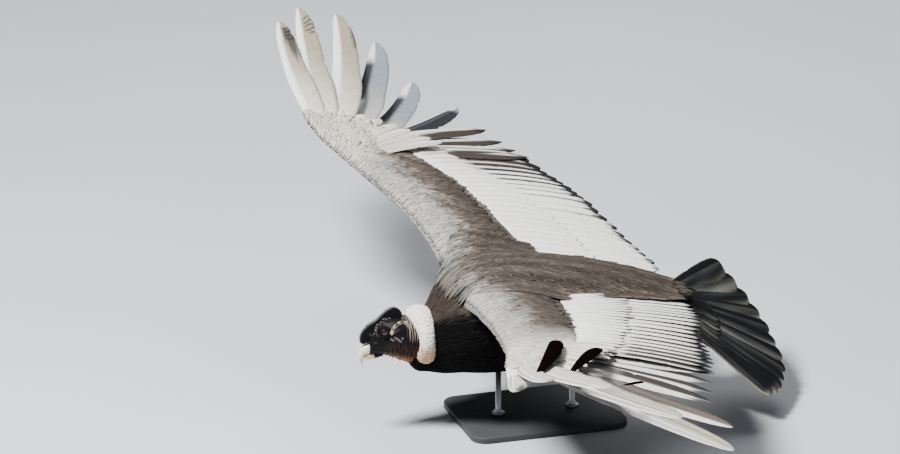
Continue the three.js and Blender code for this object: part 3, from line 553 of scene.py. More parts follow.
for side, side_name in SIDES:
    rng = np.random.default_rng(11 + side)
    n = SECONDARIES
    k = np.linspace(0, 1, n)
    root_out, tip_out = mix(664, 150, k), mix(750, 132, k)
    root = wing_point(side, root_out, np.full(n, 0.3))
    tip = wing_point(side, tip_out, 1 - 0.014 * rng.random(n), -4)
    bend = mix(root, tip, 0.5) + [0, 0, 23]
    shape = stations_of(FLIGHT_VANE, 56)
    points, quads, triangles, marks = vanes(
        root, bend, tip, np.tile([0.0, side, 0.0], (n, 1)),
        wing_up(side, (root_out + tip_out) / 2, np.full(n, 0.7)), 74 * noise_of(rng, n, 0.03), shape,
        columns=13, outer=0.42, tilt=(0.02 if side == LEFT else 0.03) + 0.008 * (rng.random(n) - 0.5),
        arch=0.4, thick=0.6, ridge=0.2, open_edge=True, nicks=ragged(rng, n, shape[0], 13))
    f, t, s = marks["feather"], marks["t"], marks["s"]
    inward = k[f]
    wave = 0.02 * np.sin(9 * s + 5 * f) + 0.015 * np.sin(23 * s + 3 * f)
    black_tip = ease(0, 0.03, t + wave + 0.012 * np.sin(2.1 * f) - mix(0.865, 0.945, inward))
    border = mix(0.56 if side == LEFT else 0.74, 0.12, ease(0, 0.62, inward)) + 0.05 * np.sin(4.1 * f)
    inner_dark = ease(border, border - 0.10, s) * ease(0.74, 0.50, inward + 0.05 * np.sin(3 * f))
    inner_dark = inner_dark * ease(mix(0.28, 0.58, inward), mix(0.42, 0.72, inward), t)
    outer_grey = ease(0.3, 0.0, inward) * 0.4
    tint = mix(WHITE, SILVER, outer_grey[:, None])
    tint = mix(tint, DARK_BROWN * 0.9, inner_dark[:, None])
    tint = mix(tint, SOOT, black_tip[:, None])
    tint = tint * noise_of(rng, n, 0.05)[f][:, None]
    under = mix(np.array([0.16, 0.155, 0.15]), SOOT * 2, ease(0.7, 0.9, t)[:, None])
    tint = paint(marks, under)(tint)
    show(f"secondaries_{side_name}", mesh_of("secondaries", points, quads, triangles, tint,
         island_map(marks), barb_map(marks)), flight_finish, "wing_feathers", f"inner_wing_{side_name}")

# Flight feathers of the hand: ten primaries a side, the outer six spread like fingers with a step in their
# width, under a row of primary coverts and the three feathers of the thumb.
PRIMARY = {
    "width": {1: [74, 74, 74, 74, 78, 84, 80, 70, 58, 46], -1: [74, 74, 74, 74, 78, 84, 84, 80, 76, 66]},
    "out": {1: [760, 820, 880, 950, 1090, 1250, 1330, 1340, 1290, 1200],
            -1: [760, 820, 880, 950, 1090, 1215, 1310, 1370, 1330, 1270]},
    "forward": {1: [-375, -354, -333, -309, -315, -266, -108, 77, 215, 270],
                -1: [-373, -358, -341, -319, -287, -206, -139, -55, 55, 124]},
    "height": {1: [9, 7, 7, 12, 0, 6, 138, 241, 254, 200], -1: [18, 16, 19, 28, 40, 72, 152, 215, 258, 251]},
    "bend": {1: [[-102, 915, 42], [-75, 1003, 40], [8, 1050, 104], [105, 1065, 158], [184, 1048, 164],
                 [220, 1010, 140]],
             -1: [[-97, 940, 28], [-95, 1010, 22], [-62, 1080, 72], [-5, 1105, 140], [104, 1090, 166],
                  [172, 1060, 200]]},
}
FINGER_VANE = ([0, .1, .2, .32, .42, .48, .54, .62, .72, .82, .9, .955, .985, 1],
               [.5, .8, .95, 1, 1, .94, .87, .82, .77, .69, .57, .4, .22, .05])
POINTED_VANE = ([0, .1, .25, .5, .7, .8, .88, .94, .98, 1], [.5, .8, 1, 1, .98, .86, .66, .42, .18, .03])


def hand_leading(side, share):
    """Which way the leading vane of each hand feather faces, from straight out to forward."""
    return unit(np.stack([mix(0.15, 0.92, share), side * mix(1, 0.5, share), np.zeros(len(share))], -1))


def hand_point(side, share, behind, lift=0.0):
    p = wing_point(side, mix(676, 826, share), np.zeros(len(share)), lift)
    p[:, 0] -= behind
    return p


for side, side_name in SIDES:
    rng = np.random.default_rng(31 + side)
    n = 10
    share = np.linspace(0, 1, n)
    root = hand_point(side, share, mix(74, 20, share), mix(10, 2, share))
    tip = np.stack([PRIMARY["forward"][side], side * np.array(PRIMARY["out"][side]),
                    PRIMARY["height"][side]], -1)
    bend = mix(root, tip, 0.5) + [0, 0, 6]
    bend[4:] = np.array(PRIMARY["bend"][side]) * [1, side, 1]
    leading = hand_leading(side, share)
    bend[:4, 2] += 0 if side == LEFT else 16
    t, pointed = stations_of(POINTED_VANE, 72)
    fingered = np.interp(t, *FINGER_VANE)
    widths = np.array([pointed if i < 4 or (i > 6 and side == LEFT) else fingered for i in range(n)])
    tilt = np.where(share < 0.4, 0.0 if side == LEFT else 0.03, -0.1 if side == LEFT else 0.05)
    points, quads, triangles, marks = vanes(
        root, bend, tip, leading, np.tile([0.0, 0, 1], (n, 1)), PRIMARY["width"][side], (t, widths),
        columns=13, outer=mix(0.36, 0.24, share), tilt=tilt, arch=2.2, thick=1.0, ridge=0.9, open_edge=True,
        nicks=ragged(rng, n, t, 13, 0.04))
    f, t, s = marks["feather"], marks["t"], marks["s"]
    rank = f + 1
    vane_edge = np.where(rank <= 4, (-0.16 if side == LEFT else -0.12) + 0.08 * np.sin(5 * t + f), 0.0)
    leading_on = ease(-0.06, 0.06, s - vane_edge)
    # Painted sheen: the ivory, white and silver tops of the hand feathers are partly their own silvery grey
    # and partly strong light on black glossy feathers.
    tan = mix(IVORY * 0.95, np.array([0.30, 0.255, 0.19]),
              ease(0.05, 0.75, t + 0.05 * np.sin(6 * s))[:, None])
    slate = mix(SILVER * 0.9, np.array([0.20, 0.225, 0.25]), ease(0.25, 0.7, t)[:, None])
    if side == LEFT:
        tan = mix(SILVER * 1.1, IVORY * 0.7, ease(0.3, 0.9, t)[:, None])
        slate = mix(SILVER * 0.72, np.array([0.40, 0.37, 0.28]), ease(0.45, 0.9, t)[:, None])
        slate = np.where((rank == 5)[:, None],
                         mix(SILVER * 0.8, GREY_BROWN * 1.1, ease(0.2, 0.5, t)[:, None]), slate)
        slate = slate * (1 - 0.5 * ease(0.2, 0.9, np.sin(15 * s + 1.5 * f + 2 * t)))[:, None]
    brown = mix(SILVER * 0.75, DARK_BROWN * (0.9 if side == LEFT else 1.4),
                ease(0.34, 0.5, t + 0.05 * np.sin(4 * f))[:, None])
    inner = np.where((rank >= 8)[:, None], tan, np.where((rank >= 5)[:, None], slate, brown))
    edge_tone = np.where((rank >= 8)[:, None], WHITE * 0.95, WHITE * 0.8)
    if side == LEFT:
        lines = 1 - 0.45 * ease(0.55, 1, np.sin(17 * s + 2.2 * f + 3 * t)) * ease(0.9, 0.7, t)
        fingers = mix(SILVER * 0.95, WHITE, ease(0.6, 0.9, s)[:, None]) * lines[:, None]
        edge_tone = np.where((rank >= 6)[:, None], fingers, edge_tone)
    tint = mix(inner, edge_tone, leading_on[:, None])
    # Painted shadow: on the far hand, navy shadows cast by each raised feather fall over most of P5 and the
    # leading vanes of P6 and P7.
    shadow_navy = np.array([0.0012, 0.0024, 0.0085])
    bars = ease(0.0, 0.5, np.sin(t * marks["length"][f] / 2.5 + 9 * s + 0.8 * np.sin(9 * s + 3 * f)))
    barred = ease(0.80, 0.82, t) * ease(0.95, 0.93, t) * bars * ease(-0.15, -0.4, s) * (rank >= 9)
    smoky = (ease(0.62, 0.8, t + 0.1 * np.sin(7 * s)) * ease(0.97, 0.9, t) * ease(-0.05, -0.4, s)
             * (rank == 10) * 0.85)
    spots = ease(0.72, 0.76, t) * ease(0.90, 0.86, t) * ease(-0.7, -0.95, s) * (rank == 8)
    far_hand = side == RIGHT
    finger_shadow = (ease(0.42, 0.5, t) * ease(0.9, 0.8, t) * ease(-0.1, 0.0, s) * far_hand
                   * ((rank == 6) | (rank == 7)))
    vane_shadow = (ease(0.3, 0.42, t) * ease(0.98, 0.93, t) * ease(0.8, 0.68, s) * far_hand
                  * (rank == 5) * 0.96)
    tip_dark = ease(0.86, 0.92, t + 0.03 * np.sin(8 * s + f)) * (rank <= 4)
    for amount, colour in ((smoky, SOOT * 3), (finger_shadow * 0.96, shadow_navy), (vane_shadow, shadow_navy * 0.5),
                           (barred * 0.95, SOOT), (spots * 0.8, SOOT * 2), (tip_dark * 0.9, SOOT * 2)):
        tint = mix(tint, colour, amount[:, None])
    under = mix(np.array([0.20, 0.195, 0.19]), SOOT * 2.5, ease(0.55, 0.8, t)[:, None])
    tint = paint(marks, under, shaft_width=0.045)(tint)
    show(f"primaries_{side_name}", mesh_of("primaries", points, quads, triangles, tint,
         island_map(marks), barb_map(marks)), flight_finish, "wing_feathers", f"outer_wing_{side_name}")

# Greater and median coverts: a close row of broad feathers over the roots of the flight feathers, pale to
# the tips, and over them a shorter row that ends the brown part of the wing.
COVERT_VANE = ([0, .12, .35, .6, .8, .92, .98, 1], [.45, .75, .98, 1, .88, .62, .3, .1])
GREATER_COVERTS, MEDIAN_COVERTS = 24, 30
coat_finish = plumage("contour_feathers", 0.75, 0.05, 0.0003)


def lay(surface, p, q, dp, dq, lifts, step=3.0):
    """Root, bend, tip and up direction of feathers on a surface of two coordinates and a lift."""
    root = surface(p, q, lifts[0])
    tip = surface(p + dp, q + dq, lifts[2])
    p_mid, q_mid = p + dp / 2, q + dq / 2
    middle = surface(p_mid, q_mid, lifts[1])
    bend = 2 * middle - (root + tip) / 2
    pe, qe = (step, step) if np.ndim(step) == 0 else step
    n = np.cross(surface(p_mid + pe, q_mid, 0) - surface(p_mid - pe, q_mid, 0),
                 surface(p_mid, q_mid + qe, 0) - surface(p_mid, q_mid - qe, 0))
    out = surface(p_mid, q_mid, 1.0) - surface(p_mid, q_mid, 0)
    n = unit(n) * np.sign((n * out).sum(-1, keepdims=True) + 1e-9)
    return root, bend, tip, n


def turn_share(angle):
    return np.mod(angle, 2 * np.pi) / (2 * np.pi)


def patches(marks, u, v, size=0.003):
    """The bake map of a coat: each feather is a small patch at its root's place on the skin's unwrap."""
    f = marks["feather"]
    return np.stack([u[f] + size * 0.5 * marks["s"], v[f] + size * (marks["t"] - 0.5)], -1)


def dress(marks, centre, rim, under=0.4, rim_from=0.35):
    """Colours of small feathers: darker along the middle, with a rim at the sides and the tip."""
    f, t, s = marks["feather"], marks["t"], np.abs(marks["s"])
    amount = np.clip(ease(rim_from, 1.0, s) * ease(0.15, 0.5, t) + ease(0.72, 1.0, t), 0, 1)
    tint = mix(centre[f], rim[f], amount[:, None])
    return np.where(marks["top"][:, None] > 0.5, tint, tint * under)


for side, side_name in SIDES:
    rng = np.random.default_rng(51 + side)
    parts = []
    for n, roots, tips, chord_root, chord_tip, lift_root, lift_tip, hump, width in (
        (GREATER_COVERTS, (702, 120), (762, 104), (0.26, 0.28), (0.50, 0.70), 1, 0.8, 16, 56),
        (MEDIAN_COVERTS, (668, 106), (706, 88), (0.15, 0.16), (0.335, 0.335), 4, 6, 15, 40),
    ):
        k = np.linspace(0, 1, n)
        root_out, tip_out = mix(*roots, k), mix(*tips, k)
        root = wing_point(side, root_out, mix(*chord_root, k), lift_root)
        belly = 0.05 * np.sin(np.pi * k)
        tip = wing_point(side, tip_out, (mix(*chord_tip, k) + belly) * noise_of(rng, n, 0.02), lift_tip)
        bend = mix(root, tip, 0.5) + [0, 0, hump]
        shape = stations_of(COVERT_VANE, 26)
        up = wing_up(side, (root_out + tip_out) / 2, np.full(n, 0.45))
        made = vanes(root, bend, tip, np.tile([0.0, side, 0.0], (n, 1)), up, width * noise_of(rng, n, 0.06),
                     shape, columns=9, outer=0.42, tilt=0.03, arch=0.8, thick=0.7, ridge=0.3, open_edge=True,
                     nicks=ragged(rng, n, shape[0], 9, 0.05, 1))
        marks = made[3]
        f, t, s = marks["feather"], marks["t"], marks["s"]
        if n == GREATER_COVERTS:
            shade = ease(0.30, -0.05, s) * ease(0.42, 0.05, k[f]) * ease(0.25, 0.6, t) * 0.6
            tint = mix(WHITE * noise_of(rng, n, 0.04)[f][:, None], GREY_BROWN, shade[:, None])
        else:
            brown = ease(*((640, 500) if side == LEFT else (730, 640)), root_out)[f]
            core = mix(IVORY * 1.15, GREY_BROWN, brown[:, None]) * noise_of(rng, n, 0.18)[f][:, None]
            tint = mix(core, core * 0.72, (ease(0.5, 0.95, t) * brown)[:, None])
            tint = mix(tint, SILVER, (ease(0.8, 1.0, np.abs(s)) * 0.5)[:, None])
        tint = paint(marks, tint * 0.6, shaft=IVORY * (1.2 if n == GREATER_COVERTS else 0.4),
                     shaft_width=0.04)(tint)
        parts.append((made, tint))
    (a, tint_a), (b, tint_b) = parts
    points, quads, triangles = gather([a[:3], b[:3]])
    bake = np.concatenate([island_map(a[3], 0, GREATER_COVERTS + MEDIAN_COVERTS),
                           island_map(b[3], GREATER_COVERTS, GREATER_COVERTS + MEDIAN_COVERTS)])
    show(f"large_coverts_{side_name}", mesh_of("large_coverts", points, quads, triangles,
         np.concatenate([tint_a, tint_b]), bake, np.concatenate([barb_map(a[3]), barb_map(b[3])])),
         flight_finish, "wing_feathers")

# Lesser coverts: rows of small soft feathers from the leading edge back over the forearm and hand, silver
# along the edge, painted sheen of strong light on dark coverts, and streaked grey-brown behind it, with a
# plainer dark coat below the wing.
COAT_REACH = 165  # how far the small coverts run back from the leading edge
SMALL_VANE = (np.array([0, .18, .42, .66, .85, 1]), np.array([.4, .78, 1, .95, .66, .12]))


def arm_tones(side, out, back, rng):
    """Colours of a covert's middle and rim: silver painted sheen near the leading edge, streaked brown
    further back.
    """
    n = len(out)
    drift = 0.06 * np.sin(out / 31.0 + back / 17.0) + 0.30 * (rng.random(n) - 0.5)
    reach = (640, 470) if side == LEFT else (750, 640)
    brown = ease(0.08, 0.62, back / COAT_REACH + drift) * ease(*reach, out + 90 * drift)
    brown = np.maximum(brown, ease(150, 95, out) * ease(0.2, 0.5, back / COAT_REACH) * 0.8)
    # Painted sheen: strong light on the dark coverts shows silver along the leading edge and ivory over the
    # hand.
    pale = mix(SILVER, IVORY, ease(560, 690, out)[:, None]) * noise_of(rng, n, 0.22)[:, None]
    fade = mix(1.0, 0.62, ease(0.5, 1.0, back / COAT_REACH))[:, None]
    dark = GREY_BROWN * fade * noise_of(rng, n, 0.35)[:, None]
    return mix(pale * 0.72, dark * 0.7, brown[:, None]), mix(pale * 1.12, dark * 1.9, brown[:, None])


for side, side_name in SIDES:
    rng = np.random.default_rng(71 + side)
    for face, coat_name in ((1, "upper"), (-1, "lower")):
        outs, backs, lengths, leans = [], [], [], []
        row, back = 0, 1.5
        while back < COAT_REACH:
            length = mix(20, 46, (back / COAT_REACH) ** 0.8) * (1.0 if face > 0 else 1.25)
            spacing = mix(8.5, 12.0, back / COAT_REACH) * (1.0 if face > 0 else 1.35)
            reach_out = between([0, 60, 120, COAT_REACH],
                                [868, 846, 812, 776] if face > 0 else [868, 838, 785, 730], back)
            row_outs = np.arange(62 + (row % 2) * spacing / 2, reach_out, spacing)
            row_outs = row_outs + (rng.random(len(row_outs)) - 0.5) * spacing * 0.5
            outs.append(row_outs)
            backs.append(np.full(len(row_outs), back) + (rng.random(len(row_outs)) - 0.5) * 5)
            hand = ease(600, 800, row_outs)
            local = length * noise_of(rng, len(row_outs), 0.14)
            lengths.append(local)
            leans.append(mix(0.10, 1.0, hand) + 0.14 * (rng.random(len(row_outs)) - 0.5))
            back += length * (0.30 if face > 0 else 0.36)
            row += 1
        out, back, length, lean = (np.concatenate(v) for v in (outs, backs, lengths, leans))
        back = np.maximum(back, 1.0)
        swing = 1 / np.sqrt(1 + lean ** 2)

        def wing_cover(p, q, lift, side=side, face=face):
            over_hand = 9 * ease(690, 760, p) * ease(40, 110, q) if face > 0 else 0
            return wing_skin(side, p, np.maximum(q, 0.3), lift + over_hand, face)

        root, bend, tip, up = lay(wing_cover, out, back, length * lean * swing, length * swing,
                                  (-1.0, 1.7, 1.1))
        n = len(out)
        made = vanes(root, bend, tip, np.tile([0.0, side, 0.0], (n, 1)), up,
                     length * 0.60 * noise_of(rng, n, 0.12), SMALL_VANE, arch=0.8, thick=0.6, ridge=0.2,
                     tilt=0.07 * (rng.random(n) - 0.5))
        marks = made[3]
        if face > 0:
            centre, rim = arm_tones(side, out, back, rng)
        else:
            light = noise_of(rng, n, 0.3)[:, None]
            edge = ease(34, 10, back)[:, None]
            centre = mix(SOOT * 1.4, SILVER * 0.8, edge) * light
            rim = mix(DARK_BROWN * 0.8, SILVER, edge) * light
        bake = patches(marks, 0.02 + 0.96 * out / 900, 0.02 + 0.96 * back / 175)
        show(f"coverts_{coat_name}_{side_name}",
             mesh_of("coverts", *made[:3], dress(marks, centre, rim, 0.8), bake, barb_map(marks)),
             coat_finish, "wing_feathers")

# Primary coverts and thumb feathers: stiff narrow feathers over the roots of the primaries. On the left hand
# the dark inner vanes of the three leading primaries show as slots between the pale ones; they are laid as
# extra near-black vanes without shine, their own black and painted shade together: root, bend and tip of
# each.
SLOTS = np.array([[[8, 688, 112], [70, 868, 150], [162, 1000, 146]],
                  [[-74, 765, 112], [-10, 880, 146], [77, 1000, 142]],
                  [[-128, 948, 88], [-90, 1000, 108], [-47, 1050, 124]]], float)
for side, side_name in SIDES:
    rng = np.random.default_rng(91 + side)
    n = 12
    share = np.linspace(0, 1, n)
    root = hand_point(side, share * 0.96, mix(56, 20, share), mix(7, 4, share))
    far = np.stack([np.interp(share * 9, range(10), np.array(PRIMARY[key][side], float)) * sign
                    for key, sign in (("forward", 1), ("out", side))] + [root[:, 2]], -1)
    tip = root + unit(far - root) * mix(212, 150, share ** 0.7)[:, None]
    tip = tip + np.outer(mix(-2, 14, share), [0, 0, 1])
    bend = mix(root, tip, 0.5) + [0, 0, 17]
    leading = hand_leading(side, share)
    thumb = np.arange(3)
    thumb_root = wing_point(side, 690 + thumb * 16.0, np.full(3, 0.03), 5 - thumb)
    thumb_tip = wing_point(side, 786 + thumb * 28.0, np.full(3, 0.05), 5 - thumb * 1.5)
    thumb_tip[:, 0] -= 8 - thumb * 4
    root = np.concatenate([root, thumb_root])
    bend = np.concatenate([bend, mix(thumb_root, thumb_tip, 0.5) + [4, 0, 6]])
    tip = np.concatenate([tip, thumb_tip])
    leading = np.concatenate([leading, np.tile([1.0, 0, 0], (3, 1))])
    n += 3
    shape = stations_of(COVERT_VANE, 26)
    made = vanes(root, bend, tip, leading, np.tile([0.0, 0, 1], (n, 1)),
                 np.concatenate([np.full(12, 44.0), np.full(3, 26.0)]), shape, columns=9,
                 outer=0.4, tilt=0.04, arch=1.2, thick=0.8, ridge=0.4, open_edge=True,
                 nicks=ragged(rng, n, shape[0], 9, 0.05, 1))
    marks = made[3]
    f, t, s = marks["feather"], marks["t"], marks["s"]
    tint = IVORY * 1.22 * noise_of(rng, n, 0.07)[f][:, None]
    tint = mix(tint, GREY_BROWN,
               (ease(0.1, -0.3, s) * ease(0.5, 0.2, share.mean() * f / 11) * 0.35)[:, None])
    tint = paint(marks, tint * 0.5)(tint)
    show(f"hand_coverts_{side_name}", mesh_of("hand_coverts", *made[:3], tint, island_map(marks),
         barb_map(marks)), flight_finish, "wing_feathers")
# Painted shade: the slot vanes are warm near-black with no shine, the black inner vanes as they look in
# their own shade.
shaded_finish = plumage("shaded_vanes", 0.95, 0.0, 0.0003)
SLOT_VANE = ([0, .06, .2, .4, .6, .8, .93, 1], [.5, .85, 1, .98, .78, .48, .2, .05])
RAISED_TO_PHOTO = [10.0, 22.0]  # bend and tip, brought forward of the pale coverts
SLOTS[:, 1:] += np.outer(RAISED_TO_PHOTO, [0.273, 0.893, 0.359])
shape = stations_of(SLOT_VANE, 26)
made = vanes(SLOTS[:, 0], SLOTS[:, 1], SLOTS[:, 2], np.tile([1.0, 0, 0], (3, 1)),
             np.tile([0.0, 0, 1], (3, 1)), np.array([40.0, 38.0, 22.0]), shape, columns=9, outer=0.4,
             tilt=0.04, arch=1.2, thick=0.8, ridge=0.4, open_edge=True,
             nicks=ragged(rng, 3, shape[0], 9, 0.05, 1))
show("slot_vanes_left", mesh_of("slot_vanes", *made[:3], np.tile(SOOT * [0.8, 0.5, 0.4], (len(made[0]), 1)),
     island_map(made[3]), barb_map(made[3])), shaded_finish, "wing_feathers")

# Tail: twelve broad dark feathers fanned from the rump, rolled left side down to steer, with coverts over
# and under.
TAIL = {"root": np.array([-468.0, 0, -76]), "drop": 30, "roll": 26, "spread": 42, "middle": 366,
        "outer": 340, "cup": 24, "width": 72}
TAIL_VANE = ([0, .08, .25, .5, .75, .87, .94, .98, 1], [.3, .42, .66, .88, 1, .97, .84, .56, .2])
drop, roll = math.radians(TAIL["drop"]), math.radians(TAIL["roll"])
tail_back = np.array([-math.cos(drop), 0, -math.sin(drop)])
tail_across = np.array([0, math.cos(roll), -math.sin(roll)])
tail_up = unit(np.cross(tail_back, tail_across))
tail_up = tail_up * np.sign(tail_up[2])


def fan(n, spread, start, length, lift_root, lift_tip, hump, sink=0.0):
    share = np.linspace(-1, 1, n)
    angle = np.radians(spread * share)
    aim = np.cos(angle)[:, None] * tail_back + np.sin(angle)[:, None] * tail_across
    low = -sink * np.abs(share) * (n - 1) / 2
    root = TAIL["root"] + aim * start + (low + lift_root)[:, None] * tail_up
    tip = TAIL["root"] + aim * np.asarray(length)[..., None] + (low + lift_tip)[:, None] * tail_up
    return share, root, mix(root, tip, 0.5) + hump * tail_up, tip


rng = np.random.default_rng(111)
tail_parts = []
share = np.linspace(-1, 1, 12)
sets = (
    (12, TAIL["spread"], 30, mix(TAIL["middle"], TAIL["outer"], share ** 2), 2, TAIL["cup"] * share ** 2, 5,
     1.6, TAIL["width"], TAIL_VANE, 48, 0.07),
    (13, TAIL["spread"] * 0.84, 20, 178, 7, 7, 9, 1.2, 44, COVERT_VANE, 22, 0.05),
    (13, TAIL["spread"] * 0.8, 20, 196, -14, -16, -12, -1.2, 44, COVERT_VANE, 22, -0.05),
    (11, TAIL["spread"] * 0.75, 0, 118, 12, 12, 9, 1.2, 40, COVERT_VANE, 18, 0.05),
)
for n, spread, start, length, lift_root, lift_tip, hump, sink, width, vane_shape, rows, tilt in sets:
    part_share, root, bend, tip = fan(n, spread, start, length * np.ones(n) * noise_of(rng, n, 0.008),
                                      lift_root, lift_tip, hump, sink)
    shape = stations_of(vane_shape, rows)
    leading = np.sign(part_share + 1e-6)[:, None] * tail_across
    made = vanes(root, bend, tip, leading, np.tile(tail_up, (n, 1)), width * noise_of(rng, n, 0.02), shape,
                 columns=11, outer=mix(0.46, 0.34, np.abs(part_share)), tilt=tilt * np.abs(part_share),
                 arch=1.5, thick=0.9, ridge=0.6, open_edge=True, nicks=ragged(rng, n, shape[0], 11, 0.05))
    marks = made[3]
    f, t, s = marks["feather"], marks["t"], marks["s"]
    sheen_band = 0.5 + 0.5 * np.sin(3.1 * f + 2.4 * s)
    outward = s * np.sign(part_share[f] + 1e-6)
    base = mix(np.array([0.0045, 0.0052, 0.0075]), np.array([0.085, 0.084, 0.074]),
               (sheen_band * ease(-0.2, 0.6, outward))[:, None])
    streak = np.sin(37 * s + 5 * f + 1.5 * np.sin(5 * t)) * np.sin(6 * t + 3 * f)
    base = base * (1 + 0.65 * streak)[:, None]
    cream = ease(0.6, 0.8, part_share[f]) * (n == 12)
    base = mix(base, np.array([0.30, 0.28, 0.22]) * (1 + 0.5 * streak)[:, None],
               (ease(0.35, 1.0, outward) * mix(0.3, 0.85, cream))[:, None])
    base = mix(base, np.array([0.34, 0.31, 0.24]), (cream * ease(0.93, 1.0, t) * 0.8)[:, None])
    base = mix(base, SOOT, (ease(0.1, -0.6, outward) * 0.75)[:, None])
    tint = paint(marks, SOOT * 1.5, shaft=np.array([0.05, 0.047, 0.042]), shaft_width=0.04)(base)
    tail_parts.append((made, tint))
total = sum(len(made[3]["length"]) for made, _ in tail_parts)
points, quads, triangles = gather([made[:3] for made, _ in tail_parts])
starts = np.cumsum([0] + [len(made[3]["length"]) for made, _ in tail_parts])
show("tail_feathers", mesh_of("tail_feathers", points, quads, triangles,
     np.concatenate([tint for _, tint in tail_parts]),
     np.concatenate([island_map(made[3], start, total) for (made, _), start in zip(tail_parts, starts)]),
     np.concatenate([barb_map(made[3]) for made, _ in tail_parts])), flight_finish, "dark_plumage", "tail")

# Body coat: overlapping contour feathers from the ruff to the rump, black below and on the breast,
# grey-brown and streaked over the back, with long lance-shaped scapulars that close the gap between back and
# wing.
LANCE = (np.array([0, .2, .45, .7, .88, 1]), np.array([.4, .85, 1, .78, .42, .06]))
rng = np.random.default_rng(131)


def body_cover(x, angle, lift):
    """The body's outer surface, drawn out over the tail's root behind the rump."""
    on_body = np.maximum(x, -552)
    bib = between([176, 162, 142, 110, 80, 50], [10, 30, 30, 16, 7, 0], np.clip(x, 50, 176))
    bib = bib * ease(0.55, 0.95, -np.sin(angle))
    p = body_point(on_body, angle, lift - COAT_DEPTH + 2 + bib)
    p[:, 0] = x
    p[:, 2] -= 0.5 * (on_body - x)
    return p


xs, angles, lengths = [], [], []
x, row = 174.0, 0
while x > -484:
    half, top, bottom = body_sizes(x)
    girth = 2 * np.pi * (half + (top - bottom) / 2) / 2
    length = between([174, 150, 60, -60, -300, -556], [26, 30, 42, 56, 70, 66], x)
    count = int(girth / (length * 0.19))
    angle = 2 * np.pi * (np.arange(count) + 0.5 * (row % 2)) / count
    angles.append(angle + (rng.random(count) - 0.5) * 0.7 / count * 2 * np.pi)
    xs.append(x + (rng.random(count) - 0.5) * 6)
    lengths.append(length * noise_of(rng, count, 0.15))
    x -= length * 0.22
    row += 1
x, angle, length = (np.concatenate(v) for v in (xs, angles, lengths))
shown = (x < 152) | (np.sin(angle) < -0.72)
x, angle, length = x[shown], angle[shown], length[shown]
n = len(x)
sway = 0.12 * (rng.random(n) - 0.5)
root, bend, tip, up = lay(body_cover, x, angle, -length * 0.97, sway, (-1.5, 2.0, 1.2), (4.0, 0.04))
side_dir = np.stack([np.zeros(n), -np.sin(angle), np.cos(angle)], -1)
made = vanes(root, bend, tip, side_dir, up, length * 0.30 * noise_of(rng, n, 0.15), LANCE, arch=1.2,
             thick=0.6, ridge=0.2, tilt=0.12 * (rng.random(n) - 0.5))
marks = made[3]
height = np.sin(angle) + 0.16 * (rng.random(n) - 0.5) + 0.1 * np.sin(x / 37.0)
back_brown = ease(0.30, 0.66, height) * ease(150, 60, x + 20 * np.sin(5 * angle))
# Painted light: the top of the breast at the neck's base is brown where the key light falls on the black
# feathers.
lit_breast_top = ease(0.5, 0.85, height) * ease(30, 90, x)
light = noise_of(rng, n, 0.28)[:, None]
centre = mix(SOOT * 0.7, GREY_BROWN * 0.72, back_brown[:, None])
centre = mix(centre, DARK_BROWN, lit_breast_top[:, None]) * light
rim = mix(SOOT * 1.1, GREY_BROWN * 1.5, back_brown[:, None])
rim = mix(rim, GREY_BROWN * 0.9, lit_breast_top[:, None]) * light
bake = patches(marks, 0.02 + 0.96 * turn_share(angle), 0.02 + 0.96 * (x + 572) / 730)
show("body_coat", mesh_of("body_coat", *made[:3], dress(marks, centre, rim), bake, barb_map(marks)),
     coat_finish, "dark_plumage")

# Mantle and scapulars: lance-shaped feathers that run back from the shoulders over the joint of back and
# wing, silver in front where they carry on the pale edge of the wing, grey-brown and streaked behind.
def mantle(f, out, lift):
    """The height of back or wing, whichever is above, rounded where they meet."""
    width, top, bottom = body_sizes(f)
    belt = mix(bottom, top, BELT_SHARE)
    share = np.clip(1 - (np.abs(out) / width) ** 2.17, 0.02, 1)
    body = belt + (top - belt) * share ** 0.475 + np.minimum(width - np.abs(out), 0) * 1.5
    heights = [body]
    for side in (LEFT, RIGHT):
        reach = np.maximum(np.abs(out), 40.0)
        back = between(WING["edge_out"], WING["edge_forward"], reach) - f
        wing = wing_skin(side, reach, np.maximum(back, 0.2), 1.0)[..., 2] - np.maximum(-back, 0) * 1.2
        heights.append(np.where(out * side > 0, wing - ease(70, 30, np.abs(out)) * 40, -400))
    stack = np.stack(heights) / 9.0
    high = stack.max(0)
    return np.stack([f, out, 9.0 * (high + np.log(np.exp(stack - high).sum(0))) + lift], -1)


rng = np.random.default_rng(141)
f, out = [], []
for row, station in enumerate(np.arange(92, -452, -8.0)):
    places = [between([96, 60, 20, -60, -120, -200, -300, -400, -460], reaches, station) for reaches in (
        [44, 100, 148, 172, 178, 152, 128, 118, 84], [44, 100, 150, 156, 146, 114, 96, 80, 60])]
    places = np.arange(-places[1], places[0], 8.0) + 4.0 * (row % 2)
    out.append(places + (rng.random(len(places)) - 0.5) * 5)
    f.append(station + (rng.random(len(places)) - 0.5) * 7)
f, out = np.concatenate(f), np.concatenate(out)
n = len(f)
length = between([96, 40, -60, -460], [34, 50, 66, 70], f) * noise_of(rng, n, 0.15)
root, bend, tip, up = lay(mantle, f, out, -length, 0.10 * out * length / 60 + 5 * (rng.random(n) - 0.5),
                          (-1.0, 3.2, 2.2), (4.0, 4.0))
made = vanes(root, bend, tip, np.tile([0.0, 1, 0], (n, 1)), up, length * 0.30 * noise_of(rng, n, 0.15),
             LANCE, arch=1.0, thick=0.7, ridge=0.25, tilt=0.12 * (rng.random(n) - 0.5))
marks = made[3]
stray = rng.random(n)
silver = ease(mix(40, -10, ease(30, 110, np.abs(out))), 75, f + 50 * (stray - 0.5))
silver = silver * mix(0.3, 0.95, ease(30, 110, np.abs(out))) * (0.5 + 0.5 * rng.random(n))
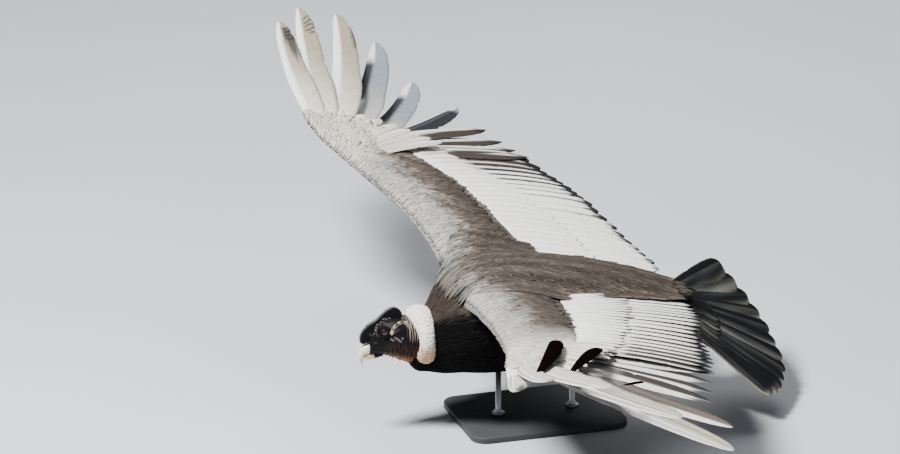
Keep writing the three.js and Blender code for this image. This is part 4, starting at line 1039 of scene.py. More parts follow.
light = (noise_of(rng, n, 0.34) * (1 + 0.22 * np.sin(out / 7.0 + f / 90.0)))[:, None]
centre = mix(GREY_BROWN * 0.42, SILVER * 0.7, silver[:, None]) * light
rim = mix(GREY_BROWN * 1.9, SILVER * 1.15, silver[:, None]) * light
bake = patches(marks, 0.5 + out / 340, 0.02 + 0.96 * (f + 460) / 560)
show("mantle", mesh_of("mantle", *made[:3], dress(marks, centre, rim, 0.7), bake, barb_map(marks)),
     coat_finish, "dark_plumage")

# Head and neck: bare, dark, wrinkled skin over the skull, with the male's upright comb and the folds behind
# the eye, on the nape and down the throat. It is one surface with the body's skin, with an opening in each
# lid for the eye.
HEAD = {
    "station": [130, 150, 168, 186, 204, 222, 240, 255, 266, 274],
    "top": [-66, -64, -62, -61, -61, -64, -71, -84, -100, -112],
    "bottom": [-176, -181, -181, -174, -166, -158, -153, -151, -151, -151],
    "half": [44, 45, 44, 43, 40, 36, 31, 25, 20, 16],
}
EYE = np.array([240.0, 25.6, -87])
EYE_BALL = 10.0
HEAD_VOXEL = 0.0009
COMB = np.array([
    [294, -119], [297, -109], [296, -98], [289, -85], [274, -71], [254, -59.5], [236, -44], [223, -35],
    [210, -32], [198, -37], [189.5, -46], [187, -57], [193, -68], [208, -76], [228, -80], [250, -90],
    [266, -106], [276, -119], [286, -123]], float)
COMB_HALF = 8.0
HEAD_ROWS, HEAD_SIDES, COMB_SIDES = 200, 260, 160
# Each fold: stations and angles up from level, its height and its width
FOLDS = (
    ([(223, 26), (216, 40), (207, 52), (196, 58), (184, 56), (177, 40), (173, 20), (172, -4)], 5.0, 3.6),
    ([(221, 12), (212, 26), (202, 33), (192, 28), (187, 8), (188, -14)], 1.8, 2.2),
    ([(182, 66), (174, 58), (167, 40), (164, 14)], 2.6, 2.6),
    ([(250, -34), (238, -38), (226, -36), (214, -30), (204, -22)], 2.0, 2.2),
    ([(252, 22), (245, 38), (235, 45), (224, 38)], 3.0, 3.4),
    ([(233, -24), (230, -55), (231, -84)], 2.4, 2.2),
    ([(224, -16), (221, -52), (222, -86)], 3.4, 2.2),
    ([(216, -12), (211, -34), (214, -60), (213, -88)], 3.9, 2.4),
    ([(205, -2), (205, -30), (201, -56), (204, -88)], 3.4, 2.1),
    ([(198, -14), (195, -46), (196, -88)], 4.1, 2.5),
    ([(185, -4), (187, -30), (184, -60), (186, -88)], 3.0, 2.0),
    ([(179, -14), (177, -48), (176, -88)], 3.4, 2.3),
    ([(169, -10), (170, -44), (168, -80)], 2.6, 2.0),
)
UPPER_BILL = np.array([
    [250, -131, 15, 17], [262, -133, 14, 15.5], [273, -135.5, 13.5, 14], [282, -139, 13, 12.5],
    [289, -146, 10, 10], [292, -155, 7.4, 7.4], [292, -164, 5.2, 5], [290, -171, 3, 3],
    [288, -176, 0.9, 0.9]], float)
LOWER_BILL = np.array([
    [240, -148, 9, 17], [256, -151, 10, 14.5], [268, -154, 10, 12.5], [278, -155.5, 8.5, 10],
    [285, -155.5, 4.5, 6]],
    float)
HORN_FROM = 264.0


def head_point(x, angle, fullness=0.92):
    top, bottom = between(HEAD["station"], HEAD["top"], x), between(HEAD["station"], HEAD["bottom"], x)
    half = between(HEAD["station"], HEAD["half"], x)
    c, s = np.cos(angle), np.sin(angle)
    return np.stack(np.broadcast_arrays(
        x, half * np.sign(c) * np.abs(c) ** fullness,
        (top + bottom) / 2 + (top - bottom) / 2 * np.sign(s) * np.abs(s) ** fullness), -1)


def fold_line(at, count):
    """A fold's stations and angles at even steps along it."""
    at = np.array(at, float)
    knots, share = np.linspace(0, 1, len(at)), np.linspace(0, 1, count)
    return between(knots, at[:, 0], share), np.radians(between(knots, at[:, 1], share))


def on_side(side, angle):
    return angle if side == LEFT else np.pi - angle


def nearest(points, line):
    """Distance from each point to a row of points, and its share along the row."""
    distance = np.linalg.norm(points[:, None] - line[None], axis=-1)
    best = distance.argmin(1)
    return distance[np.arange(len(points)), best], best / (len(line) - 1)


def crinkle(points, sizes, seed):
    """Small irregular creases, between -1 and 1."""
    rng = np.random.default_rng(seed)
    total = np.zeros(len(points))
    for size in sizes:
        for _ in range(7):
            wave = unit(rng.normal(size=3)) * 2 * np.pi / (size * (0.7 + 0.6 * rng.random()))
            total += 1 - 2.2 * np.abs(np.sin(points @ wave + 6.3 * rng.random()))
    return total / (7 * len(sizes))


def sweep(rows, sides, start=None, stop=None, grow=0.0, steps=40):
    """Rings round the bill's own line, each ring given by forward, up, half height and half width."""
    share = np.linspace(0, 1, len(rows))
    t = np.linspace(0, 1, steps)
    x, z, tall, half = (between(share, rows[:, k], t) for k in range(4))
    kept = np.ones(steps, bool)
    if start is not None:
        kept &= ~((x < start) & (t < 0.6))
    if stop is not None:
        kept &= (x <= stop) & (t < 0.6)
    heading = unit(np.stack([np.gradient(x), np.zeros(steps), np.gradient(z)], -1))
    lift = np.cross(heading, [0, 1.0, 0])
    angle = circle(sides)
    centre = np.stack([x, np.zeros(steps), z], -1)
    rings = (centre[:, None] + np.cos(angle)[None, :, None] * (half + grow)[:, None, None]
             * np.array([0, 1.0, 0])
             + np.sin(angle)[None, :, None] * ((tall + grow)[:, None] * lift)[:, None])
    return rings[kept]


def ball(centre, radii, rows=12, sides=16):
    lat = np.linspace(-np.pi / 2, np.pi / 2, rows + 2)[1:-1]
    lon = circle(sides)
    rings = np.stack(np.broadcast_arrays(
        np.cos(lat)[:, None] * np.cos(lon), np.sin(lat)[:, None] * np.ones(sides),
        np.cos(lat)[:, None] * np.sin(lon)), -1)
    return loft(np.asarray(centre) + rings * np.asarray(radii))


head_x, head_angle = np.meshgrid(np.linspace(120, 273, HEAD_ROWS), circle(HEAD_SIDES),
                                 indexing="ij")
base = head_point(head_x, head_angle)
slope_x = np.gradient(base, axis=0)
slope_a = np.roll(base, -1, 1) - np.roll(base, 1, 1)
normal = unit(np.cross(slope_a, slope_x)).reshape(-1, 3)
base = base.reshape(-1, 3)
if (normal[:, 1] * base[:, 1]).mean() < 0:
    normal = -normal
raised = np.zeros(len(base))
for at, tall, wide in FOLDS:
    line_x, line_angle = fold_line(at, 44)
    for side in (LEFT, RIGHT):
        line = head_point(line_x, on_side(side, line_angle))
        away, along = nearest(base, line)
        ends = ease(0, 0.12, along) * ease(1, 0.88, along) * 0.6 + 0.4
        raised += tall * ends * (1 + 0.18 * np.sin(34 * along + tall)) * np.exp(-(away / wide) ** 2)
nape = ease(186, 170, base[:, 0]) * ease(-0.5, 0.4, np.sin(head_angle.ravel()))
raised += 1.3 * nape * np.cos(2 * np.pi * base[:, 0] / 6.2 + 1.3 * np.sin(head_angle.ravel() * 3))
cheek = np.exp(-((base[:, 0] - 203) / 9) ** 2 - ((base[:, 2] + 104) / 13) ** 2)
raised += 1.6 * cheek
for side in (LEFT, RIGHT):
    nostril = np.linalg.norm((base - [261, side * 19, -113]) / [4.6, 8, 2.0], axis=1)
    raised -= 3.6 * np.exp(-nostril ** 2)
base = base + normal * raised[:, None]
for side in (LEFT, RIGHT):
    near = base[:, 1] * side > 0
    dx, dz = base[:, 0] - EYE[0], base[:, 2] - EYE[2]
    off = np.hypot(dx, dz)
    rho = np.hypot(dx / 8.0, (dz - 0.4) / 6.0)
    base[:, 1] -= side * near * 2.2 * np.exp(-((off - 15.5) / 3.2) ** 2)
    lid = EYE_BALL + 1.3 + 0.9 * np.exp(-((rho - 1.12) / 0.12) ** 2)
    lid = EYE[1] + np.sqrt(np.maximum(lid ** 2 - off ** 2, 0))
    lid_share = ease(13.0, 9.5, off) * near
    base[:, 1] = mix(base[:, 1], side * np.maximum(lid, base[:, 1] * side), lid_share)
    well = EYE[1] + np.sqrt(np.maximum((EYE_BALL - 1.6) ** 2 - off ** 2, 4))
    base[:, 1] = mix(base[:, 1], side * well, ease(1.04, 0.93, rho) * near)
head_rings = base.reshape(HEAD_ROWS, HEAD_SIDES, 3)

turn = np.linspace(0, 1, len(COMB) + 1)
wrapped = np.concatenate([COMB[-3:], COMB, COMB[:4]])
wrapped_turn = np.concatenate([turn[-4:-1] - 1, turn[:-1], turn[:4] + 1])
fine = np.linspace(0, 1, COMB_SIDES, endpoint=False)
rim_x, rim_z = (between(wrapped_turn, wrapped[:, k], fine) for k in (0, 1))
heading = unit(np.stack([np.roll(rim_x, -1) - np.roll(rim_x, 1), np.roll(rim_z, -1) - np.roll(rim_z, 1)],
                        -1))
outward = np.stack([heading[:, 1], -heading[:, 0]], -1)
comb_rings = []
for phi in np.linspace(-np.pi / 2, np.pi / 2, 11):
    step_in = 5.2 * (1 - np.cos(phi)) ** 0.8
    y = COMB_HALF * np.sin(phi)
    comb_rings.append(np.stack([rim_x - outward[:, 0] * step_in, np.full(COMB_SIDES, y),
                                rim_z - outward[:, 1] * step_in], -1))
flesh = [loft(head_rings), loft(comb_rings), loft(sweep(UPPER_BILL, 40, stop=267, grow=1.0)),
         loft(sweep(LOWER_BILL, 36, stop=262, grow=0.6))]
rng = np.random.default_rng(151)
knob_places = []
for k in range(64):
    share = (k // 2) / 31
    side = LEFT if k % 2 else RIGHT
    place = np.array([mix(268, 228, share), side * (COMB_HALF - 0.4), mix(-101, -57, share ** 0.9)])
    place = place + rng.normal(size=3) * [3.4, 0.3, 4.2]
    knob_places.append(place)
    flesh.append(ball(place, rng.uniform(2.0, 3.6) * np.array([1.2, 0.9, 1.0]), 8, 10))
for k in range(14):
    side = LEFT if k % 2 else RIGHT
    share = (k // 2) / 6
    angle = math.radians(mix(2, 13, (k * 0.37) % 1))
    place = head_point(np.array(mix(224.0, 198.0, share)), np.array(on_side(side, angle)))
    knob_places.append(place)
    flesh.append(ball(place, np.full(3, rng.uniform(1.3, 2.3)), 7, 8))
head_skin = moulded(mesh_of("head_skin", *gather(flesh)), HEAD_VOXEL, 2)


def lifted(mesh):
    """A mesh's points in the bird's millimetres, its point normals, and its faces."""
    co = np.empty(len(mesh.vertices) * 3, np.float32)
    no = np.empty(len(mesh.vertices) * 3, np.float32)
    mesh.vertices.foreach_get("co", co)
    mesh.vertices.foreach_get("normal", no)
    co, no = co.reshape(-1, 3).astype(float) * 1000, no.reshape(-1, 3).astype(float)
    points = np.stack([-co[:, 0] - BALANCE, -co[:, 1], co[:, 2] - LIFT], -1)
    normals = np.stack([-no[:, 0], -no[:, 1], no[:, 2]], -1)
    corners = np.empty(len(mesh.loops), np.int32)
    mesh.loops.foreach_get("vertex_index", corners)
    sizes = np.empty(len(mesh.polygons), np.int32)
    mesh.polygons.foreach_get("loop_total", sizes)
    starts = np.cumsum(sizes) - sizes
    quads = corners[(starts[sizes == 4][:, None] + np.arange(4))]
    triangles = corners[(starts[sizes == 3][:, None] + np.arange(3))]
    return points, normals, quads, triangles


points, normals, quads, triangles = lifted(head_skin)
x, y, z = points.T
on_comb = ease(-78, -70, z - 0.55 * (226 - x) * (x < 226) * 0.2) * ease(17, 10, np.abs(y)) * (x > 183)
on_comb = np.maximum(on_comb, (x > 279) * 1.0)
belt = (between(HEAD["station"], HEAD["top"], x) + between(HEAD["station"], HEAD["bottom"], x)) / 2
height = (z - belt) / 50
fold_x, fold_angle = fold_line(FOLDS[0][0], 50)
(near_left, along_left), (near_right, along_right) = [
    nearest(points, head_point(fold_x, on_side(side, fold_angle))) for side in (LEFT, RIGHT)]
along = np.where(near_left < near_right, along_left, along_right)
to_fold = np.minimum(near_left, near_right) + 7 * ease(0.62, 0.95, along)
to_knob = nearest(points, np.array(knob_places))[0]
to_eye = np.minimum(*[np.linalg.norm(points - EYE * [1, side, 1], axis=1) for side in (LEFT, RIGHT)])
creases = crinkle(points, (3.2, 5.5), 5)
coarse = crinkle(points, (11.0, 17.0), 6)
calm = 1 - 0.75 * ease(14, 11, to_eye)
points = points + normals * ((0.32 * creases + 0.35 * coarse * (0.4 + on_comb)) * calm)[:, None]
skin_black = np.array([0.0024, 0.0021, 0.0030])
tint = np.tile(skin_black, (len(points), 1))
throat = ease(0.1, -0.3, height) * ease(246, 228, x)
tint = mix(tint, np.array([0.040, 0.019, 0.009]), (throat * (0.6 + 0.4 * creases))[:, None])
low_throat = ease(-0.6, -0.95, height) * ease(250, 226, x)
tint = mix(tint, np.array([0.26, 0.095, 0.026]), (0.85 * low_throat)[:, None])
cheek = np.exp(-((x - 203) / 11) ** 2 - ((z + 104) / 15) ** 2)
tint = mix(tint, np.array([0.010, 0.005, 0.012]), (0.7 * cheek)[:, None])
around_eye = ease(18, 12, to_eye)
tint = mix(tint, np.array([0.0085, 0.0036, 0.0040]), (0.8 * around_eye)[:, None])
# Painted light and shade on the nape's ridges: pale on their crests, dark in the grooves between them.
nape = ease(188, 174, x) * ease(-0.2, 0.5, height)
ridges = ease(-0.1, 0.75, np.cos(2 * np.pi * x / 6.2 + 1.3 * np.sin(3 * np.arctan2(z - belt, y))))
tint = mix(tint, mix(np.array([0.012, 0.006, 0.008]), np.array([0.52, 0.42, 0.31]), ridges[:, None]),
           (nape * ease(0.0, 0.3, height) * (0.7 + 0.3 * creases))[:, None])
patchy = crinkle(points, (7.0, 12.0), 7)
on_fold = ease(4.6, 2.0, to_fold + 2.2 * patchy) * (0.75 + 0.25 * creases) * (1 - on_comb)
tint = mix(tint,
           mix(np.array([0.72, 0.60, 0.44]), np.array([0.30, 0.15, 0.10]), ease(-0.2, 0.5, patchy)[:, None]),
           on_fold[:, None])
# Painted glints: pale light on the raised tops of the wrinkles and knobs along the comb's foot.
tint = mix(tint, np.array([0.74, 0.70, 0.64]),
           (ease(3.8, 2.2, to_knob) * 0.8 * ease(-0.6, 0.2, creases))[:, None])
rim_near = nearest(np.stack([x, np.zeros(len(x)), z], -1),
                   np.stack([rim_x, np.zeros(COMB_SIDES), rim_z], -1))[0]
# Painted highlight: a thin bright line of light along the comb's upper rim.
comb_rim_highlight = on_comb * ease(2.0, 0.6, rim_near) * (z > -112)
tint = mix(tint, np.array([0.17, 0.16, 0.165]), (0.8 * comb_rim_highlight)[:, None])
# Painted light and shade: lighter on the raised coarse wrinkles, darker in the creases between them.
tint = tint * (1 + 0.25 * coarse)[:, None]
body_points, body_normals, body_quads, body_triangles = lifted(body_skin)
skin_points, skin_quads, skin_triangles = gather([(points, quads, triangles),
                                                  (body_points, body_quads, body_triangles)])
body_x, body_y, body_z = body_points.T
wide, upper = np.abs(body_y), body_normals[:, 2] > 0
edge_back = between(WING["edge_out"], WING["edge_forward"], np.clip(wide, 40, 985)) - body_x
rng = np.random.default_rng(161)
arm = np.where((body_y > 0)[:, None], *(arm_tones(side, wide, np.clip(edge_back, 0, COAT_REACH), rng)[0]
                                        for side in (LEFT, RIGHT)))
arm = np.where((upper | (edge_back < 20))[:, None], arm, SOOT)
trunk_tone = mix(SOOT, GREY_BROWN * 0.5, (ease(0.2, 0.7, body_normals[:, 2]) * ease(130, 70, body_x)
                                          * ease(-500, -430, body_x))[:, None])
skin_tint = np.concatenate([tint, mix(trunk_tone, arm, ease(70, 120, wide)[:, None])])

skin_finish, tree, shader = finish("bare_skin", roughness=0.4)
shader.inputs["Specular IOR Level"].default_value = 0.14
tree.links.new(point_tint(tree), shader.inputs["Base Color"])
pores = pattern(tree, "ShaderNodeTexVoronoi", Scale=620.0)
creased = pattern(tree, "ShaderNodeTexNoise", Scale=240.0, Detail=4.0)
uneven = add_node(tree, "ShaderNodeMath", {0: pores.outputs["Distance"], 1: creased.outputs["Fac"]},
                  operation="ADD")
emboss(tree, shader, uneven.outputs[0], 0.45, 0.0006)
tree.links.new(between_ends(tree, creased.outputs["Fac"], 0.34, 0.62), shader.inputs["Roughness"])
skin = show("skin", mesh_of("skin", skin_points, skin_quads, skin_triangles, skin_tint), skin_finish,
            "bare_skin", "torso", "neck", "head", "comb")


def unwrap(piece, margin=0.002):
    """Proper bake islands for a surface with no map of its own."""
    piece.data.uv_layers.new(name="OFBake")
    bpy.ops.object.select_all(action="DESELECT")
    piece.select_set(True)
    bpy.context.view_layer.objects.active = piece
    bpy.ops.object.mode_set(mode="EDIT")
    bpy.ops.mesh.select_all(action="SELECT")
    bpy.ops.uv.smart_project(angle_limit=1.2, island_margin=margin)
    bpy.ops.object.mode_set(mode="OBJECT")


unwrap(skin)

# Bill: ivory horn in two halves that meet along the mouth line, the upper one ending in a stout hook. The
# dark skin of the face runs over its base.
horn_finish, tree, shader = finish("bill_horn", roughness=0.32, coat=0.25)
shader.inputs["Subsurface Weight"].default_value = 0.08
tree.links.new(point_tint(tree), shader.inputs["Base Color"])
layers = pattern(tree, "ShaderNodeTexNoise", Scale=180.0, Detail=5.0)
emboss(tree, shader, layers.outputs["Fac"], 0.25, 0.0004)
for name, rows, start in (("bill_upper", UPPER_BILL, HORN_FROM), ("bill_lower", LOWER_BILL, 258.0)):
    rings = sweep(rows, 56, start=start, grow=-0.35, steps=90)
    ring_share = np.repeat(np.linspace(0, 1, len(rings)), 56)
    flat = rings.reshape(-1, 3)
    mouth = -145.5 - 0.176 * (flat[:, 0] - 268)
    if name == "bill_upper":
        inside = flat[:, 0] < 286
        flat[:, 2] = np.where(inside, np.maximum(flat[:, 2], mouth + 0.6), flat[:, 2])
    else:
        flat[:, 2] = np.minimum(flat[:, 2], mouth - 0.5)
    points, quads, triangles = loft(flat.reshape(rings.shape))
    ring_share = np.concatenate([ring_share, [0, 1]])
    streak = crinkle(points * [1, 1.6, 1.6], (9.0,), 8)
    horn = mix(np.array([0.30, 0.22, 0.13]), np.array([0.80, 0.74, 0.60]),
               ease(0.0, 0.22, ring_share)[:, None])
    if name == "bill_lower":
        horn = horn * [0.95, 0.76, 0.42]
    else:
        horn = mix(horn, np.array([0.40, 0.25, 0.12]), ease(0.80, 1.0, ring_share)[:, None])
    horn = horn * (1 + 0.08 * streak)[:, None]
    piece = show(name + "_horn", mesh_of(name, points, quads, triangles, np.clip(horn, 0, 1)), horn_finish,
                 "bill_horn", name)
    unwrap(piece)

# Eyes: brown iris round a black pupil under a clear, wet, slightly bulging cornea.
eye_finish, tree, shader = finish("eye", roughness=0.06, coat=1.0)
tree.links.new(point_tint(tree), shader.inputs["Base Color"])
for side, side_name in SIDES:
    points, quads, triangles = ball((0, 0, 0), (1, 1, 1), 60, 72)
    gaze = unit(np.array([0.28, side, 0.06]))
    facing = points @ gaze
    off = np.degrees(np.arccos(np.clip(facing, -1, 1)))
    spokes = crinkle(points * 9, (1.3,), 3)
    iris = mix(np.array([0.050, 0.018, 0.009]), np.array([0.022, 0.009, 0.006]),
               (0.5 + 0.5 * spokes)[:, None])
    tint = mix(np.array([0.004, 0.004, 0.004]), iris, ease(15, 18, off)[:, None])
    tint = mix(tint, np.array([0.03, 0.014, 0.010]), ease(34, 38, off)[:, None])
    tint = mix(tint, np.array([0.05, 0.035, 0.03]), ease(42, 47, off)[:, None])
    bulge = 1 + 0.055 * ease(42, 0, off)
    points = EYE * [1, side, 1] + points * bulge[:, None] * (EYE_BALL - 0.4)
    piece = show(f"eye_{side_name}_ball", mesh_of("eye", points, quads, triangles, tint), eye_finish, "eye",
                 f"eye_{side_name}")
    unwrap(piece)

# Ruff: a collar of white down round the base of the neck, thick and soft, with painted warm reflected light
# turning it tan where it hangs lowest.
# Its plumes grow back from the bare skin, bulge outward and lie over each other.
RUFF = {"middle": 138.0, "height": -115.0, "inner": 46.0, "depth": 25.0}
RUFF_ROWS, RUFF_FRONT_ROWS, RUFF_PLUMES, PAD_SIDES = 17, 9, 130, 64
DOWN = (np.array([0, .2, .45, .7, .88, 1]), np.array([.5, 1, 1, .8, .5, .1]))
down_finish = plumage("ruff_down", 0.9, 0.04, 0.0004)


def collar(angle, share, lift):
    """The ruff's surface round the neck, from share 0 at its front edge to share 1 at its rear edge."""
    half = mix(18, 30, np.sin(angle) ** 2)
    c, s = np.cos(np.pi * share), np.sin(np.pi * np.clip(share, 0, 1))
    radius = RUFF["inner"] + (RUFF["depth"] * s ** 0.7 + lift * (0.3 + 0.7 * s))
    return np.stack([RUFF["middle"] + 4 * np.sin(angle) + (half + lift * 0.5) * c, radius * np.cos(angle),
                     RUFF["height"] + radius * np.sin(angle)], -1)


rng = np.random.default_rng(171)
ring_angle, ring_share = np.meshgrid(circle(PAD_SIDES), np.linspace(0, 1, 12), indexing="ij")
pad = np.concatenate([collar(ring_angle, ring_share, -2.0),
                      collar(ring_angle[:, :1], ring_share[:, -1:], -9.0),
                      collar(ring_angle[:, :1], ring_share[:, :1], -9.0)], 1)
count = pad.shape[1]
i, j = np.meshgrid(np.arange(PAD_SIDES), np.arange(count), indexing="ij")
i2, j2 = (i + 1) % PAD_SIDES, (j + 1) % count
pad_quads = np.stack([i * count + j, i * count + j2, i2 * count + j2, i2 * count + j], -1).reshape(-1, 4)
angle, share = [], []
for row, start in enumerate(np.linspace(-0.06, 0.80, RUFF_ROWS)):
    places = 2 * np.pi * (np.arange(RUFF_PLUMES) + 0.5 * (row % 2)) / RUFF_PLUMES
    angle.append(places + (rng.random(RUFF_PLUMES) - 0.5) * 0.05)
    share.append(start + (rng.random(RUFF_PLUMES) - 0.5) * 0.07)
angle, share = np.concatenate(angle), np.concatenate(share)
n = len(angle)
fluff = rng.random(n)
root, bend, tip, up = lay(collar, angle, share, 0.14 * (rng.random(n) - 0.5), mix(0.22, 0.34, rng.random(n)),
                          (-3.0, 2.2 + 1.2 * fluff, 1.4 + 2.6 * fluff), (0.05, 0.03))
around = np.stack([np.zeros(n), -np.sin(angle), np.cos(angle)], -1)
widths, tilts = rng.uniform(6.0, 8.5, n), 0.22 * (rng.random(n) - 0.5)
nicks = ragged(rng, n, DOWN[0], 5, 0.35, 2)
# Painted reflection: warm light thrown up from below turns the lowest down and pad tan.
reflected_warm = np.array([0.55, 0.29, 0.11])
low = ease(0.22, -0.45, np.sin(angle) + 0.12 * (rng.random(n) - 0.5))
down = mix(np.array([0.90, 0.88, 0.84]), reflected_warm, (low * mix(0.6, 0.95, rng.random(n)))[:, None])
down = down * noise_of(rng, n, 0.06)[:, None]
pad_low = ease(0.22, -0.45, np.repeat(np.sin(ring_angle[:, 0]), count))
pad_tint = mix(np.array([0.80, 0.77, 0.72]), reflected_warm, pad_low[:, None] * 0.8)
pad_bake = np.stack([np.repeat(ring_angle[:, 0] / (2 * np.pi), count) * 0.96 + 0.02,
                     np.tile(np.linspace(0.05, 0.95, count), PAD_SIDES)], -1)
bake_u, bake_v = 0.02 + 0.96 * turn_share(angle), 0.1 + 0.8 * share
front = RUFF_FRONT_ROWS * RUFF_PLUMES
for name, part in (("ruff_down", slice(0, front)), ("ruff_down_rear", slice(front, n))):
    made = vanes(root[part], bend[part], tip[part], around[part], up[part], widths[part], DOWN, columns=5,
                 arch=1.0, thick=0.7, ridge=0.15, tilt=tilts[part], nicks=nicks[part])
    solids, tint = [made[:3]], [dress(made[3], down[part], down[part], under=0.95)]
    bake, barbs = [patches(made[3], bake_u[part], bake_v[part])], [barb_map(made[3])]
    if name == "ruff_down":
        solids.append((pad.reshape(-1, 3), pad_quads, np.zeros((0, 3), int)))
        tint.append(pad_tint)
        bake.append(pad_bake)
        barbs.append(pad_bake * 0.3)
    show(name,
         mesh_of(name, *gather(solids), np.concatenate(tint), np.concatenate(bake), np.concatenate(barbs)),
         down_finish, "white_down", *(["ruff"] if name == "ruff_down" else []))

# Legs and feet: bare grey shanks in broad scutes, folded back under the tail coverts with the toes drawn
# together, and thighs in short dark feathers. The claws are blunt dark horn, each grown from the end of its
# toe.
THIGH_LINE = [(-215, 70, -170), (-262, 66, -196), (-300, 63, -208), (-322, 62, -214)]
THIGH_ROUND = [40, 36, 24, 13]
SHANK_LINE = [(-305, 62, -212), (-318, 62, -214), (-380, 58, -206), (-436, 54, -196)]
SHANK_ROUND = [10, 12, 9.5, 11]
HEEL = np.array([-442.0, 54, -196])
TOES = (("inner", (-66, -24, 6), 1.0), ("middle", (-96, 4, 8), 1.0), ("outer", (-68, 28, 6), 1.0),
        ("hind", (-30, -14, -18), 0.6))
CLAW_LENGTH, CLAW_HOOK = 22.0, 9.0


def limb(line, radii, side, sides=32, steps=70, scute=0.0, pitch=5.0, angle=None):
    """Rings round a line of places, stepped along the upper side by the edges of its scutes."""
    line = np.asarray(line, float) * [1, side, 1]
    knots = np.linspace(0, 1, len(line))
    t = np.linspace(0, 1, steps)
    centre = np.stack([between(knots, line[:, k], t) for k in range(3)], -1)
    heading = unit(np.gradient(centre, axis=0))
    across = unit(np.cross(heading, [0, 0.01, 1.0])) * side
    lift = np.cross(across, heading)
    lift = lift * np.sign(lift[:, 2:])
    angle = circle(sides) if angle is None else angle
    run = np.concatenate([[0], np.cumsum(np.linalg.norm(np.diff(centre, axis=0), axis=1))])
    step = (run / pitch) % 1
    swell = 1 + scute * (step[:, None] - 0.5) * np.clip(0.35 + np.sin(angle), 0, 1)[None]
    spread = between(knots, radii, t)[:, None] * swell
    dents = np.where(scute > 0, ease(0.2, 0.0, step) + ease(0.9, 1.0, step), 0)[:, None] * (0 * angle + 1)
    return (centre[:, None] + np.cos(angle)[None, :, None] * across[:, None] * spread[..., None]
            + np.sin(angle)[None, :, None] * lift[:, None] * spread[..., None]), dents


leg_finish, tree, shader = finish("leg_scales", roughness=0.62)
shader.inputs["Specular IOR Level"].default_value = 0.25
plates = pattern(tree, "ShaderNodeTexVoronoi", Scale=360.0)
dust = pattern(tree, "ShaderNodeTexNoise", Scale=90.0, Detail=4.0)
shaded = add_node(tree, "ShaderNodeVectorMath", {0: point_tint(tree)}, operation="SCALE")
tree.links.new(between_ends(tree, dust.outputs["Fac"], 0.7, 1.25), shaded.inputs["Scale"])
tree.links.new(shaded.outputs[0], shader.inputs["Base Color"])
emboss(tree, shader, plates.outputs["Distance"], 0.5, 0.0006)
claw_finish, tree, shader = finish("claw_horn", roughness=0.38)
grown = pattern(tree, "ShaderNodeTexNoise", Scale=220.0, Detail=3.0)
two_tones(tree, shader, grown.outputs["Fac"], (0.012, 0.010, 0.009), (0.040, 0.034, 0.028))

